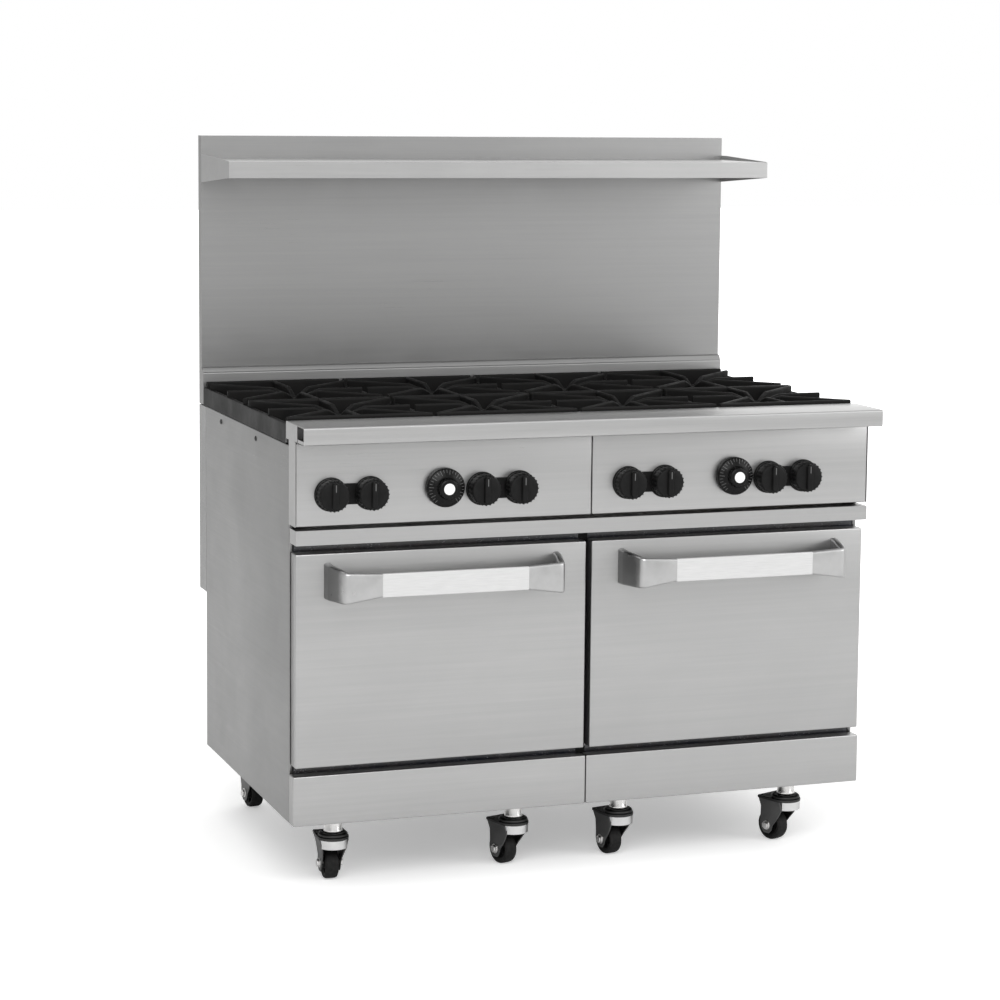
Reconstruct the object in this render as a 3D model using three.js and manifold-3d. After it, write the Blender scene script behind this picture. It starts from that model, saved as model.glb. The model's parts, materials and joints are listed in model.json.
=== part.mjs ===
// A 48 inch restaurant gas range: eight open burners over two bottom-hinged ovens, a high riser
// with a shelf, and eight swivel casters. Millimetres, +X right, +Y back, +Z up; the origin is on the
// floor, midway between the sides and between the front of the door handles and the back of the flue box.
import * as THREE from "three";
import { mergeVertices } from "three/addons/utils/BufferGeometryUtils.js";
import Module from "manifold-3d";

const wasm = await Module();
wasm.setup();

// ---- driving dimensions ------------------------------------------------------------------------------
const INCH = 25.4;
const WIDTH = 48 * INCH;
const DEPTH = 34 * INCH;
const HALF = WIDTH / 2;
const OVEN_CENTRE = WIDTH / 4; // each oven section is half the width, centred here
const SHEET = 1.5; // stainless sheet
const GAP = 0.5; // between neighbouring pieces

const HANDLE_OUT = 8; // handles in front of the ledge
const LEDGE_FRONT = (HANDLE_OUT - DEPTH) / 2;
const FLUE_BACK = LEDGE_FRONT + DEPTH;
const PANEL_FRONT = LEDGE_FRONT + 64;
const DOOR_FRONT = LEDGE_FRONT + 75;
const KICK_FRONT = LEDGE_FRONT + 78;
const SIDE_FRONT = LEDGE_FRONT + 111;
const LEDGE_BACK = LEDGE_FRONT + 132;
const RISER_FACE = FLUE_BACK - 25.5;
const SIDE_BACK = FLUE_BACK - 60.5;
const SHELF_FRONT = RISER_FACE - 252;

const KICK_BOTTOM = 140;
const KICK_TOP = 239;
const DOOR_BOTTOM = 256;
const DOOR_TOP = 678;
const TRAY_BOTTOM = 697;
const TRAY_TOP = 726;
const PANEL_BOTTOM = 733;
const PANEL_TOP = 895;
const SIDE_TOP = 886;
const LEDGE_BOTTOM = 898;
const LEDGE_TOP = 932;
const FRAME_TOP = 925;
const GRATE_TOP = 938;
const SHELF_BOTTOM = 1384;
const SHELF_TOP = 1418;
const RISER_TOP = 1467;
const TRIM_TOP = 967; // the folded strip along the foot of the riser

const COLUMN_X = [-1.5, -0.5, 0.5, 1.5].map((k) => k * 12 * INCH); // burner columns
const GRATE_WIDTH = 295;
const GRATE_SPLIT = 11; // the line between the 12 inch front grates and the 15 inch rear ones
const GRATE_FRONT = LEDGE_BACK + 5;
const GRATE_BACK = RISER_FACE - 20;

const KNOB_Z = 794.5;
const CONTROL_CENTRE = OVEN_CENTRE + 3; // the middle of each section's controls
const KNOB_OFFSETS = [-231, -152, 76.5, 154];
const DIAL_Z = 800.5;
const DIAL_OFFSET = -2;
const VALVE_Y = PANEL_FRONT + 30;

const STEM_X = 190; // caster stems, either side of each oven centre
const STEM_SHIFT = -12; // all eight stems sit a little to the left
const STEM_Y = [-272, 320];
const STEM_BOTTOM = 105;
const WHEEL_RADIUS = 32;
const WHEEL_WIDTH = 28;
const TRAIL = 35; // wheel axle behind the swivel axis
const TRAIL_TURN = [-4, 16, 11, 21, 8, -20, 12, 28]; // degrees from straight back, turned towards -X

// ---- materials ---------------------------------------------------------------------------------------
function finish(color, roughness, metalness) {
  return new THREE.MeshStandardMaterial({ color, roughness, metalness });
}

const STAINLESS = finish(0xb4b5b5, 0.36, 0.95);
const ALUMINISED = finish(0x9fa2a4, 0.5, 0.85);
const BLACK_ENAMEL = finish(0x26272a, 0.4, 0.3);
const OVEN_ENAMEL = finish(0x35383d, 0.3, 0.2);
const CAST_IRON = finish(0x1d1d1e, 0.7, 0.4);
const CAST_BURNER = finish(0x4b4a48, 0.75, 0.4);
const BLACK_PLASTIC = finish(0x161617, 0.45, 0);
const GLOSS_PLASTIC = finish(0x0d0d0e, 0.2, 0);
const CAST_ALUMINIUM = finish(0xc9cacb, 0.3, 0.9);
const BRASS = finish(0xb08d4a, 0.35, 0.9);
const ZINC = finish(0xb9bcbf, 0.3, 0.9);
const RUBBER = finish(0x151515, 0.7, 0);

// ---- solids: three.js geometry in, manifold solids out -----------------------------------------------
// Coordinates snap to 1/1024 mm, which 32-bit numbers hold exactly, so faces meant to be flush are flush.
const SNAP = 1024;

function solid(geometry) {
  const loose = geometry.index ? geometry.toNonIndexed() : geometry;
  const bare = new THREE.BufferGeometry().setAttribute("position", loose.getAttribute("position"));
  const merged = mergeVertices(bare, 1e-4);
  const vertProperties = merged.attributes.position.array.map((v) => Math.round(v * SNAP) / SNAP);
  const triVerts = new Uint32Array(merged.index.array);
  return new wasm.Manifold(new wasm.Mesh({ numProp: 3, vertProperties, triVerts }));
}

function join(...solids) {
  return solids.reduce((sum, next) => sum.add(next));
}

function mesh(name, body, material) {
  const { vertProperties, triVerts } = body.getMesh();
  const geometry = new THREE.BufferGeometry()
    .setAttribute("position", new THREE.BufferAttribute(new Float32Array(vertProperties), 3))
    .setIndex(new THREE.BufferAttribute(new Uint32Array(triVerts), 1));
  const faceted = geometry.toNonIndexed();
  faceted.computeVertexNormals();
  const made = new THREE.Mesh(faceted, material);
  made.name = name;
  return made;
}

// A block between two values on each axis.
function block([x0, x1], [y0, y1], [z0, z1]) {
  const box = new THREE.BoxGeometry(x1 - x0, y1 - y0, z1 - z0);
  return solid(box.translate((x0 + x1) / 2, (y0 + y1) / 2, (z0 + z1) / 2));
}

// Axis frames as matrices: a drawing's own (a, b) plane and its depth c, turned into x, y and z.
const ALONG_X = new THREE.Matrix4().set(0, 0, 1, 0, 1, 0, 0, 0, 0, 1, 0, 0, 0, 0, 0, 1); // (a, b) = (y, z)
const ALONG_Y = new THREE.Matrix4().set(1, 0, 0, 0, 0, 0, -1, 0, 0, 1, 0, 0, 0, 0, 0, 1); // (a, b) = (x, z)
const ALONG_Z = new THREE.Matrix4(); // (a, b) = (x, y)

// An outline drawn across one axis and extended along it from one value to another.
function prism(outline, axis, from, to, curveSegments = 6) {
  const isShape = outline instanceof THREE.Shape;
  const shape = isShape ? outline : new THREE.Shape(outline.map(([a, b]) => new THREE.Vector2(a, b)));
  const drawn = new THREE.ExtrudeGeometry(shape, { depth: to - from, bevelEnabled: false, curveSegments });
  drawn.translate(0, 0, axis === ALONG_Y ? -to : from);
  return solid(drawn.applyMatrix4(axis));
}

// A round bar along one axis, centred at (a, b) in that axis frame's plane.
function rod(axis, [a, b], radius, from, to, sides = 12) {
  const shape = new THREE.Shape().absarc(a, b, radius, 0, 2 * Math.PI, false);
  return prism(shape, axis, from, to, sides / 2);
}

// A turned solid from [radius, height] pairs, standing on the origin with its axis along +Z.
function turned(profile, sides = 20) {
  const points = profile.map(([r, z]) => new THREE.Vector2(r, z));
  return solid(new THREE.LatheGeometry(points, sides).rotateX(Math.PI / 2));
}

// An open-backed sheet tray: a block hollowed from one face. Opens towards +y unless another side is named.
function tray(xs, ys, zs, wall = SHEET, open = "back") {
  const inner = {
    back: [[xs[0] + wall, xs[1] - wall], [ys[0] + wall, ys[1] + 1], [zs[0] + wall, zs[1] - wall]],
    front: [[xs[0] + wall, xs[1] - wall], [ys[0] - 1, ys[1] - wall], [zs[0] + wall, zs[1] - wall]],
    top: [[xs[0] + wall, xs[1] - wall], [ys[0] + wall, ys[1] - wall], [zs[0] + wall, zs[1] + 1]],
  }[open];
  return block(xs, ys, zs).subtract(block(...inner));
}

// The x range from near to far from the middle, on the left for side -1 and on the right for +1.
function sideSpan(side, near, far) {
  return [Math.min(side * near, side * far), Math.max(side * near, side * far)];
}

// ---- chassis -----------------------------------------------------------------------------------------
const STEM_COLUMNS = [-OVEN_CENTRE, OVEN_CENTRE].flatMap((x) =>
  [x - STEM_X, x + STEM_X].map((stem) => stem + STEM_SHIFT),
);

function stemPositions() {
  return STEM_Y.flatMap((y) => STEM_COLUMNS.map((x) => [x, y]));
}

function baseFrame() {
  const railZ = [KICK_BOTTOM + 4, KICK_BOTTOM + 34];
  const frontY = SIDE_FRONT + 2;
  const backY = SIDE_BACK - 4;
  const rails = STEM_COLUMNS.map((x) => block([x - 24, x + 24], [frontY, backY], railZ));
  const beams = [
    block([-HALF + 4, HALF - 4], [frontY, frontY + 60], railZ),
    block([-HALF + 4, HALF - 4], [backY - 60, backY], railZ),
  ];
  const post = 20;
  const corners = [-HALF + 3, HALF - 3 - post].flatMap((x) => [
    block([x, x + post], [frontY, frontY + post], [railZ[0], SIDE_TOP - 4]),
    block([x, x + post], [backY - post, backY], [railZ[0], SIDE_TOP - 4]),
  ]);
  const middles = [
    block([-10, 10], [frontY, frontY + post], [railZ[0], TRAY_BOTTOM - 8]),
    block([-10, 10], [backY - post, backY], [railZ[0], TRAY_BOTTOM - 8]),
  ];
  const sockets = stemPositions().map(([x, y]) =>
    rod(ALONG_Z, [x, y], 17.5, STEM_BOTTOM, KICK_BOTTOM + 10, 14),
  );
  return join(...rails, ...beams, ...corners, ...middles, ...sockets);
}

function sidePanel(side) {
  const outer = block(sideSpan(side, HALF - 8, HALF), [SIDE_FRONT, SIDE_BACK], [KICK_BOTTOM, SIDE_TOP]);
  const hollowY = [SIDE_FRONT + SHEET, SIDE_BACK - SHEET];
  const hollowZ = [KICK_BOTTOM + SHEET, SIDE_TOP - SHEET];
  return outer.subtract(block(sideSpan(side, HALF - 10, HALF - SHEET), hollowY, hollowZ));
}

const INLET = { x: 565, z: KNOB_Z, radius: 13.5 };
const FLUE_BOTTOM = 480;

// Lower back sheet with the flue box that carries both ovens' exhaust up behind the body.
function rearPanel() {
  const sheetY = [SIDE_BACK + GAP, SIDE_BACK + GAP + SHEET];
  const sheet = block([-HALF + 2, HALF - 2], sheetY, [KICK_BOTTOM + 4, FLUE_BOTTOM + 20]);
  const flueY = [SIDE_BACK + GAP, FLUE_BACK];
  const flue = tray([-HALF, HALF], flueY, [FLUE_BOTTOM, SIDE_TOP - 1], SHEET, "front");
  const topVent = block(
    [-HALF + 30, HALF - 30], [RISER_FACE + 3, FLUE_BACK - 3], [SIDE_TOP - 10, SIDE_TOP + 5],
  );
  const inletHole = rod(ALONG_Y, [INLET.x, INLET.z], INLET.radius + 2, SIDE_BACK, FLUE_BACK + 1, 12);
  const louvres = [-2, -1, 0, 1, 2].map((k) =>
    block([k * 220 - 70, k * 220 + 70], [SIDE_BACK, SIDE_BACK + 5], [250, 262]),
  );
  const closed = join(sheet, flue).subtract(topVent).subtract(inletHole);
  return louvres.reduce((body, slot) => body.subtract(slot), closed);
}

function backRiser() {
  const shell = tray([-HALF, HALF], [RISER_FACE, FLUE_BACK], [SIDE_TOP + 1, RISER_TOP]);
  const base = block([-HALF + 10, HALF - 10], [RISER_FACE + 1, FLUE_BACK - 1], [SIDE_TOP, SIDE_TOP + 5]);
  const trimProfile = [
    [RISER_FACE - 14, SIDE_TOP + 2], [RISER_FACE + 1, SIDE_TOP + 2], [RISER_FACE + 1, TRIM_TOP],
    [RISER_FACE, TRIM_TOP], [RISER_FACE - 14, TRIM_TOP - 10],
  ];
  const trim = prism(trimProfile, ALONG_X, -HALF, HALF);
  const flueSlots = [-1.5, -0.5, 0.5, 1.5].map((k) =>
    block([k * 290 - 120, k * 290 + 120], [RISER_FACE + 6, FLUE_BACK - 6], [RISER_TOP - 5, RISER_TOP + 1]),
  );
  return flueSlots.reduce((body, slot) => body.subtract(slot), join(shell.subtract(base), trim));
}

function highShelf() {
  const back = RISER_FACE - GAP;
  const top = block([-HALF, HALF], [SHELF_FRONT, back], [SHELF_TOP - SHEET, SHELF_TOP]);
  const lip = block([-HALF, HALF], [SHELF_FRONT, SHELF_FRONT + SHEET], [SHELF_BOTTOM, SHELF_TOP]);
  const hem = block([-HALF, HALF], [SHELF_FRONT, SHELF_FRONT + 14], [SHELF_BOTTOM, SHELF_BOTTOM + SHEET]);
  const cleat = block([-HALF, HALF], [back - SHEET, back], [SHELF_BOTTOM - 8, SHELF_TOP]);
  const endProfile = [
    [SHELF_FRONT, SHELF_BOTTOM], [back, SHELF_BOTTOM - 17], [back, SHELF_TOP + 9],
    [back - 30, SHELF_TOP + 9], [SHELF_FRONT + 6, SHELF_TOP + 1], [SHELF_FRONT, SHELF_TOP],
  ];
  const ends = [-HALF, HALF - SHEET].map((x) => prism(endProfile, ALONG_X, x, x + SHEET));
  return join(top, lip, hem, cleat, ...ends);
}

// Landing ledge: a hollow folded nose with a cheek plate at each end that also covers the end of the
// control panel below.
function frontLedge() {
  const profile = [
    [LEDGE_FRONT, LEDGE_BOTTOM], [PANEL_FRONT + 6, LEDGE_BOTTOM], [PANEL_FRONT + 6, LEDGE_BOTTOM + SHEET],
    [LEDGE_FRONT + SHEET, LEDGE_BOTTOM + SHEET], [LEDGE_FRONT + SHEET, LEDGE_TOP - SHEET],
    [LEDGE_BACK - SHEET, LEDGE_TOP - SHEET], [LEDGE_BACK - SHEET, SIDE_TOP + 4], [LEDGE_BACK, SIDE_TOP + 4],
    [LEDGE_BACK, LEDGE_TOP], [LEDGE_FRONT, LEDGE_TOP],
  ];
  const nose = prism(profile, ALONG_X, -HALF, HALF);
  const cheekProfile = [
    [PANEL_FRONT, PANEL_BOTTOM], [SIDE_FRONT - GAP, PANEL_BOTTOM], [SIDE_FRONT - GAP, LEDGE_BOTTOM],
    [LEDGE_BACK, LEDGE_BOTTOM], [LEDGE_BACK, LEDGE_TOP], [PANEL_FRONT - 15, LEDGE_TOP],
    [PANEL_FRONT - 15, LEDGE_BOTTOM], [PANEL_FRONT, LEDGE_BOTTOM],
  ];
  const cheeks = [-HALF, HALF - SHEET].map((x) => prism(cheekProfile, ALONG_X, x, x + SHEET));
  return join(nose, ...cheeks);
}

// ---- front panels ------------------------------------------------------------------------------------
// The x range of one oven section's panel, left of centre for side -1.
function sectionSpan(side, edge, middle) {
  return side < 0 ? [-HALF + edge, -middle] : [middle, HALF - edge];
}

function controlPanel(side) {
  const depth = [PANEL_FRONT, SIDE_FRONT - GAP];
  const shell = tray(sectionSpan(side, SHEET + GAP, 0.8), depth, [PANEL_BOTTOM, PANEL_TOP]);
  const holeSpots = [...KNOB_OFFSETS.map((x) => [x, KNOB_Z]), [DIAL_OFFSET, DIAL_Z]];
  const holes = holeSpots.map(([x, z]) =>
    rod(ALONG_Y, [side * CONTROL_CENTRE + x, z], 7, PANEL_FRONT - 1, PANEL_FRONT + 5, 12),
  );
  const pipeNotch = block([-6, 6], [PANEL_FRONT + 10, SIDE_FRONT], [KNOB_Z - 20, KNOB_Z + 20]);
  return holes.reduce((body, hole) => body.subtract(hole), shell.subtract(pipeNotch));
}

function kickPlate(side) {
  return tray(sectionSpan(side, 0, 0.8), [KICK_FRONT, SIDE_FRONT - GAP], [KICK_BOTTOM, KICK_TOP]);
}

// Full-width drip tray under the burners; its pull front is the strip between the knobs and the doors.
function crumbTray() {
  const front = LEDGE_FRONT + 61;
  const panX = [-HALF + 32, HALF - 32];
  const panZ = [TRAY_BOTTOM + 3, TRAY_TOP - 3];
  const pan = tray(panX, [front + 4, SIDE_BACK - 32], panZ, SHEET, "top");
  const pull = tray([-HALF + 1, HALF - 1], [front, SIDE_FRONT - 4], [TRAY_BOTTOM, TRAY_TOP]);
  const panWay = block(panX, [front + 6, SIDE_FRONT], [TRAY_BOTTOM - 1, TRAY_TOP - 4]);
  const rib = block(panX, [front, front + 6], [TRAY_BOTTOM + 1, TRAY_TOP - 1]);
  return join(pull.subtract(panWay), pan, rib);
}

// ---- ovens and doors ---------------------------------------------------------------------------------
const CAVITY = { halfWidth: 254, bottom: 285, top: 640, back: 344 };
const LINER_WALL = 3;
const RACK_GUIDES = [345, 425, 505]; // the undersides of the rack guides
const ARM_X = 275; // slots for the doors' link arms, either side of each oven centre

function ovenLiner(side) {
  const x = side * OVEN_CENTRE;
  const outerX = [x - CAVITY.halfWidth - LINER_WALL, x + CAVITY.halfWidth + LINER_WALL];
  const shellY = [SIDE_FRONT - 1.2, CAVITY.back + LINER_WALL];
  const box = block(outerX, shellY, [CAVITY.bottom - LINER_WALL, CAVITY.top + LINER_WALL]);
  const face = block([x - 295, x + 295], [SIDE_FRONT, SIDE_FRONT + SHEET], [180, TRAY_BOTTOM - 7]);
  const hollowX = [x - CAVITY.halfWidth, x + CAVITY.halfWidth];
  const hollow = block(hollowX, [SIDE_FRONT - 5, CAVITY.back], [CAVITY.bottom, CAVITY.top]);
  const slots = [x - ARM_X, x + ARM_X].map((armX) =>
    block([armX - 5, armX + 5], [SIDE_FRONT - 5, SIDE_FRONT + 5], [366, 402]),
  );
  const flue = block([x - 90, x + 90], [CAVITY.back, SIDE_BACK + GAP - 1], [560, 610]);
  const flueHole = block([x - 86, x + 86], [CAVITY.back - 1, SIDE_BACK + GAP], [564, 606]);
  const guideY = [SIDE_FRONT + 30, CAVITY.back - 20];
  const guides = RACK_GUIDES.flatMap((z) => [
    block([hollowX[0] - 1, hollowX[0] + 10], guideY, [z, z + 4]),
    block([hollowX[1] - 10, hollowX[1] + 1], guideY, [z, z + 4]),
  ]);
  const burner = rod(ALONG_Y, [x, 225], 14, SIDE_FRONT + 30, 180, 8);
  const hangers = [-260, 150].map((y) => block([x - 5, x + 5], [y, y + 14], [225, CAVITY.bottom - 1]));
  const cuts = [hollow, flueHole, ...slots];
  const shell = cuts.reduce((body, cut) => body.subtract(cut), join(box, face, flue));
  return join(shell, ...guides, burner, ...hangers);
}

const DOOR_BACK = SIDE_FRONT - 3.2;

function doorOuter(side) {
  return tray(sectionSpan(side, 3.5, 6), [DOOR_FRONT, DOOR_BACK - 1], [DOOR_BOTTOM, DOOR_TOP]);
}

// Inner skin of the door, with a raised plug that enters the oven mouth by a few millimetres.
function doorLiner(side) {
  const [x0, x1] = sectionSpan(side, 3.5 + SHEET + GAP, 6 + SHEET + GAP);
  const z = [DOOR_BOTTOM + SHEET + GAP, DOOR_TOP - SHEET - GAP];
  const x = side * OVEN_CENTRE;
  const plugX = [x - CAVITY.halfWidth + 8, x + CAVITY.halfWidth - 8];
  const plugZ = [CAVITY.bottom + 7, CAVITY.top - 7];
  const plate = block([x0, x1], [DOOR_BACK - 12, DOOR_BACK], z);
  const plug = block(plugX, [DOOR_BACK - 4, DOOR_BACK + 6], plugZ);
  const hollowZ = [plugZ[0] + 8, plugZ[1] - 8];
  const hollow = block([plugX[0] + 8, plugX[1] - 8], [DOOR_BACK - 13, DOOR_BACK + 4], hollowZ);
  return join(plate, plug).subtract(hollow);
}

// Bowed handle seen from above: a flat front and ends that turn back to the door. Seen from the front it
// is taller at its ends.
function doorHandle(side) {
  const length = 486;
  const reach = DOOR_FRONT - LEDGE_FRONT + HANDLE_OUT;
  const thickness = 11;
  const bow = (x, depth, corner) => {
    const shape = new THREE.Shape();
    shape.moveTo(-x, 0);
    shape.lineTo(-x + 2, -depth / 4);
    shape.lineTo(-x + 15, -depth + corner);
    shape.quadraticCurveTo(-x + 18, -depth, -x + 18 + corner, -depth);
    shape.lineTo(x - 18 - corner, -depth);
    shape.quadraticCurveTo(x - 18, -depth, x - 15, -depth + corner);
    shape.lineTo(x - 2, -depth / 4);
    shape.lineTo(x, 0);
    return shape;
  };
  const outer = prism(bow(length / 2, reach - GAP, 12), ALONG_Z, 588, 660);
  const inner = prism(bow(length / 2 - thickness, reach - GAP - thickness, 5), ALONG_Z, 580, 660);
  const under = [[-220, 580], [220, 580], [220, 588], [146, 601], [-146, 601], [-220, 588]];
  const over = [[-235, 670], [-235, 658], [-150, 647], [150, 647], [235, 658], [235, 670]];
  const waste = [under, over].map((outline) => prism(outline, ALONG_Y, -reach - 1, 1));
  const bar = outer.subtract(inner.translate([0, 1, 0])).subtract(waste[0]).subtract(waste[1]);
  return bar.translate([side * (OVEN_CENTRE + 1), DOOR_FRONT - GAP, 0]);
}

// ---- cooktop -----------------------------------------------------------------------------------------
// A deep rim with a ledge plate inside it: one opening in the plate under each grate.
function cooktopFrame() {
  const outerX = [-HALF + 0.3, HALF - 0.3];
  const outerY = [LEDGE_BACK + GAP, RISER_FACE - 14.5];
  const z = [SIDE_TOP + 1, FRAME_TOP];
  const rim = block(outerX, outerY, z);
  const mouth = block([outerX[0] + 3, outerX[1] - 3], [outerY[0] + 3, outerY[1] - 3], [z[0] - 1, z[1] + 1]);
  const plateZ = [z[0] + 6, z[0] + 10];
  const plate = block([outerX[0] + 1, outerX[1] - 1], [outerY[0] + 1, outerY[1] - 1], plateZ);
  const rows = [[outerY[0] + 14, GRATE_SPLIT - 10], [GRATE_SPLIT + 10, outerY[1] - 14]];
  const openings = COLUMN_X.flatMap((x) => {
    const across = [Math.max(x - 143, outerX[0] + 14), Math.min(x + 143, outerX[1] - 14)];
    return rows.map((row) => block(across, row, z));
  });
  const pierced = openings.reduce((body, opening) => body.subtract(opening), plate);
  return rim.subtract(mouth).add(pierced);
}

// Cast grate: full-height front and back bars, low side bars, and eight fingers rising from a small hub.
function grate(column, [y0, y1]) {
  const x = COLUMN_X[column];
  const cy = (y0 + y1) / 2;
  const halfX = GRATE_WIDTH / 2;
  const halfY = (y1 - y0) / 2 - 1;
  const bar = 10;
  const foot = SIDE_TOP + 11.5;
  const lowTop = FRAME_TOP - 1;
  const innerY = [cy - halfY + bar, cy + halfY - bar];
  const outer = block([x - halfX, x + halfX], [cy - halfY, cy + halfY], [foot, GRATE_TOP]);
  const inner = block([x - halfX + bar, x + halfX - bar], innerY, [foot - 1, GRATE_TOP + 1]);
  const sideDrops = [x - halfX, x + halfX].map((sideX) =>
    block([sideX - bar - 1, sideX + bar + 1], innerY, [lowTop, GRATE_TOP + 1]),
  );
  const frame = sideDrops.reduce((body, drop) => body.subtract(drop), outer.subtract(inner));
  const fingers = fingerReaches(halfX, halfY).map(({ degrees, length }) => {
    const outline = [
      [14, GRATE_TOP - 24], [length, GRATE_TOP - 24], [length, GRATE_TOP], [52, GRATE_TOP],
      [14, GRATE_TOP - 15],
    ];
    return prism(outline, ALONG_Y, -4.5, 4.5).rotate([0, 0, degrees]).translate([x, cy, 0]);
  });
  const hubProfile = [[11, 0], [22, 0], [22, 8], [11, 8], [11, 0]];
  const hub = turned(hubProfile, 8).translate([x, cy, GRATE_TOP - 24]);
  const clip = block([x - halfX, x + halfX], [cy - halfY, cy + halfY], [foot, GRATE_TOP + 5]);
  return join(frame, ...fingers, hub).intersect(clip);
}

// Fingers run to the middle of each side and to the corners of the largest centred square.
function fingerReaches(halfX, halfY) {
  const tiny = 1e-9;
  return [0, 45, 90, 135, 180, 225, 270, 315].map((degrees) => {
    const angle = THREE.MathUtils.degToRad(degrees);
    const toSide = halfX / Math.max(Math.abs(Math.cos(angle)), tiny);
    const toEnd = halfY / Math.max(Math.abs(Math.sin(angle)), tiny);
    return { degrees, length: Math.min(toSide, toEnd) };
  });
}

// Front and rear burner of one column, cast heads on their venturi tubes, tied by two support bars.
function burnerPair(column) {
  const x = COLUMN_X[column];
  const frontY = (GRATE_FRONT + GRATE_SPLIT) / 2;
  const rearY = (GRATE_SPLIT + GRATE_BACK) / 2;
  const mouthY = SIDE_FRONT + 26;
  const tubeZ = KNOB_Z;
  const rearTubeX = x - 78;
  const headProfile = [[0, 0], [26, 0], [34, 14], [57, 22], [57, 34], [45, 40], [42, 50], [0, 52]];
  const head = (y) => turned(headProfile, 14).translate([x, y, SIDE_TOP - 52]);
  const riser = (y) => rod(ALONG_Z, [x, y], 20, tubeZ, SIDE_TOP - 50, 10);
  const frontTube = rod(ALONG_Y, [x, tubeZ], 16, mouthY, frontY + 18, 10);
  const rearTube = rod(ALONG_Y, [rearTubeX, tubeZ], 16, mouthY, rearY + 14, 10);
  const elbow = rod(ALONG_X, [rearY, tubeZ], 16, rearTubeX, x, 10);
  const barX = [rearTubeX - 8, x + 24];
  const bars = [frontY - 88, frontY + 108].map((y) => block(barX, [y, y + 12], [tubeZ - 20, tubeZ - 8]));
  const heads = [frontY, rearY].flatMap((y) => [head(y), riser(y)]);
  const body = join(...heads, frontTube, rearTube, elbow, ...bars);
  const mouths = [x, rearTubeX].map((tx) => rod(ALONG_Y, [tx, tubeZ], 11, mouthY - 1, mouthY + 40, 8));
  return mouths.reduce((cast, mouth) => cast.subtract(mouth), body);
}

// ---- gas train and controls --------------------------------------------------------------------------
function controlSpots() {
  const centres = [-CONTROL_CENTRE, CONTROL_CENTRE];
  const knobs = centres.flatMap((x) => KNOB_OFFSETS.map((offset) => ({ x: x + offset, z: KNOB_Z })));
  const dials = centres.map((x) => ({ x: x + DIAL_OFFSET, z: DIAL_Z }));
  return { knobs, dials };
}

function gasManifold() {
  const { knobs, dials } = controlSpots();
  const pipe = rod(ALONG_X, [VALVE_Y, KNOB_Z], INLET.radius, -HALF + 24, INLET.x + INLET.radius, 10);
  const supply = rod(ALONG_Y, [INLET.x, INLET.z], INLET.radius, VALVE_Y, FLUE_BACK - 2, 10);
  const valves = knobs.map(({ x, z }) => rod(ALONG_Y, [x, z], 11, PANEL_FRONT + 15, VALVE_Y, 8));
  const jets = knobs.map(({ x, z }) => rod(ALONG_Y, [x, z], 6, VALVE_Y, SIDE_FRONT + 24, 6));
  const thermostats = dials.map(({ x, z }) =>
    block([x - 22, x + 22], [PANEL_FRONT + 15, VALVE_Y + 20], [z - 30, z + 30]),
  );
  return join(pipe, supply, ...valves, ...jets, ...thermostats);
}

// Burner knob: a deep drum with a raised grip bar, on a spindle through the panel. The bar is upright at off.
function burnerKnob({ x, z }) {
  const front = PANEL_FRONT - 4;
  const drumProfile = [[0, 0], [32, 0], [32, 6], [31, 8], [30.5, 26], [28, 29], [0, 29]];
  const drum = turned(drumProfile, 24).rotate([90, 0, 0]);
  const waisted = [
    [-7.5, -27], [7.5, -27], [5, -16], [5, 16], [7.5, 27], [-7.5, 27], [-5, 16], [-5, -16],
  ];
  const grip = prism(waisted, ALONG_Y, -36, -20);
  const spindle = rod(ALONG_Y, [0, 0], 4, -2, 17, 8);
  return join(drum, grip, spindle).translate([x, front, z]);
}

// Oven thermostat dial: a wide, deep skirt for the scale and a round grip.
function ovenDial({ x, z }) {
  const front = PANEL_FRONT - 2;
  const profile = [[0, 0], [38.4, 0], [38.4, 14], [24, 20.5], [22, 21], [20, 32], [17, 34], [0, 34]];
  const body = turned(profile, 24).rotate([90, 0, 0]);
  const pointer = block([-2.5, 2.5], [-30, -6], [14, 26]);
  const spindle = rod(ALONG_Y, [0, 0], 4, -2, 15, 8);
  return join(body, pointer, spindle).translate([x, front, z]);
}

// ---- casters -----------------------------------------------------------------------------------------
// Both are drawn with the stem on the Z axis and the wheel trailing straight back along +Y.
// The fork is a pressed horn: a top plate and a rounded front band over cheeks that draw in to the axle.
function casterFork() {
  const top = 97;
  const yokeOutline = [
    [-30, top], [-30, 91], [-20.5, 46], [-20.5, 14], [-18, 14], [-18, 46], [-27.4, 91.5],
    [27.4, 91.5], [18, 46], [18, 14], [20.5, 14], [20.5, 46], [30, 91], [30, top],
  ];
  const yoke = prism(yokeOutline, ALONG_Y, -31, 50);
  const sideOutline = [
    [-31, top], [-31, 90], [-14, 73], [TRAIL - 18, 36], [TRAIL - 11, 16], [TRAIL + 11, 16],
    [TRAIL + 18, 40], [50, 90], [50, top],
  ];
  const side = prism(sideOutline, ALONG_X, -32, 32);
  const plan = rod(ALONG_Z, [0, 0], 30, 0, top, 24).add(block([-32, 32], [0, 52], [0, top]));
  const drum = rod(ALONG_Z, [0, 0], 30, 73, top, 24).subtract(rod(ALONG_Z, [0, 0], 27.4, 72, 94, 24));
  const band = drum.intersect(block([-32, 32], [-32, -14], [70, top]));
  const race = rod(ALONG_Z, [0, 0], 29, top - 1, STEM_BOTTOM - GAP, 18);
  const axle = rod(ALONG_X, [TRAIL, WHEEL_RADIUS], 5, -24, 24, 8);
  return join(yoke.intersect(side).intersect(plan), band, race, axle);
}

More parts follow.
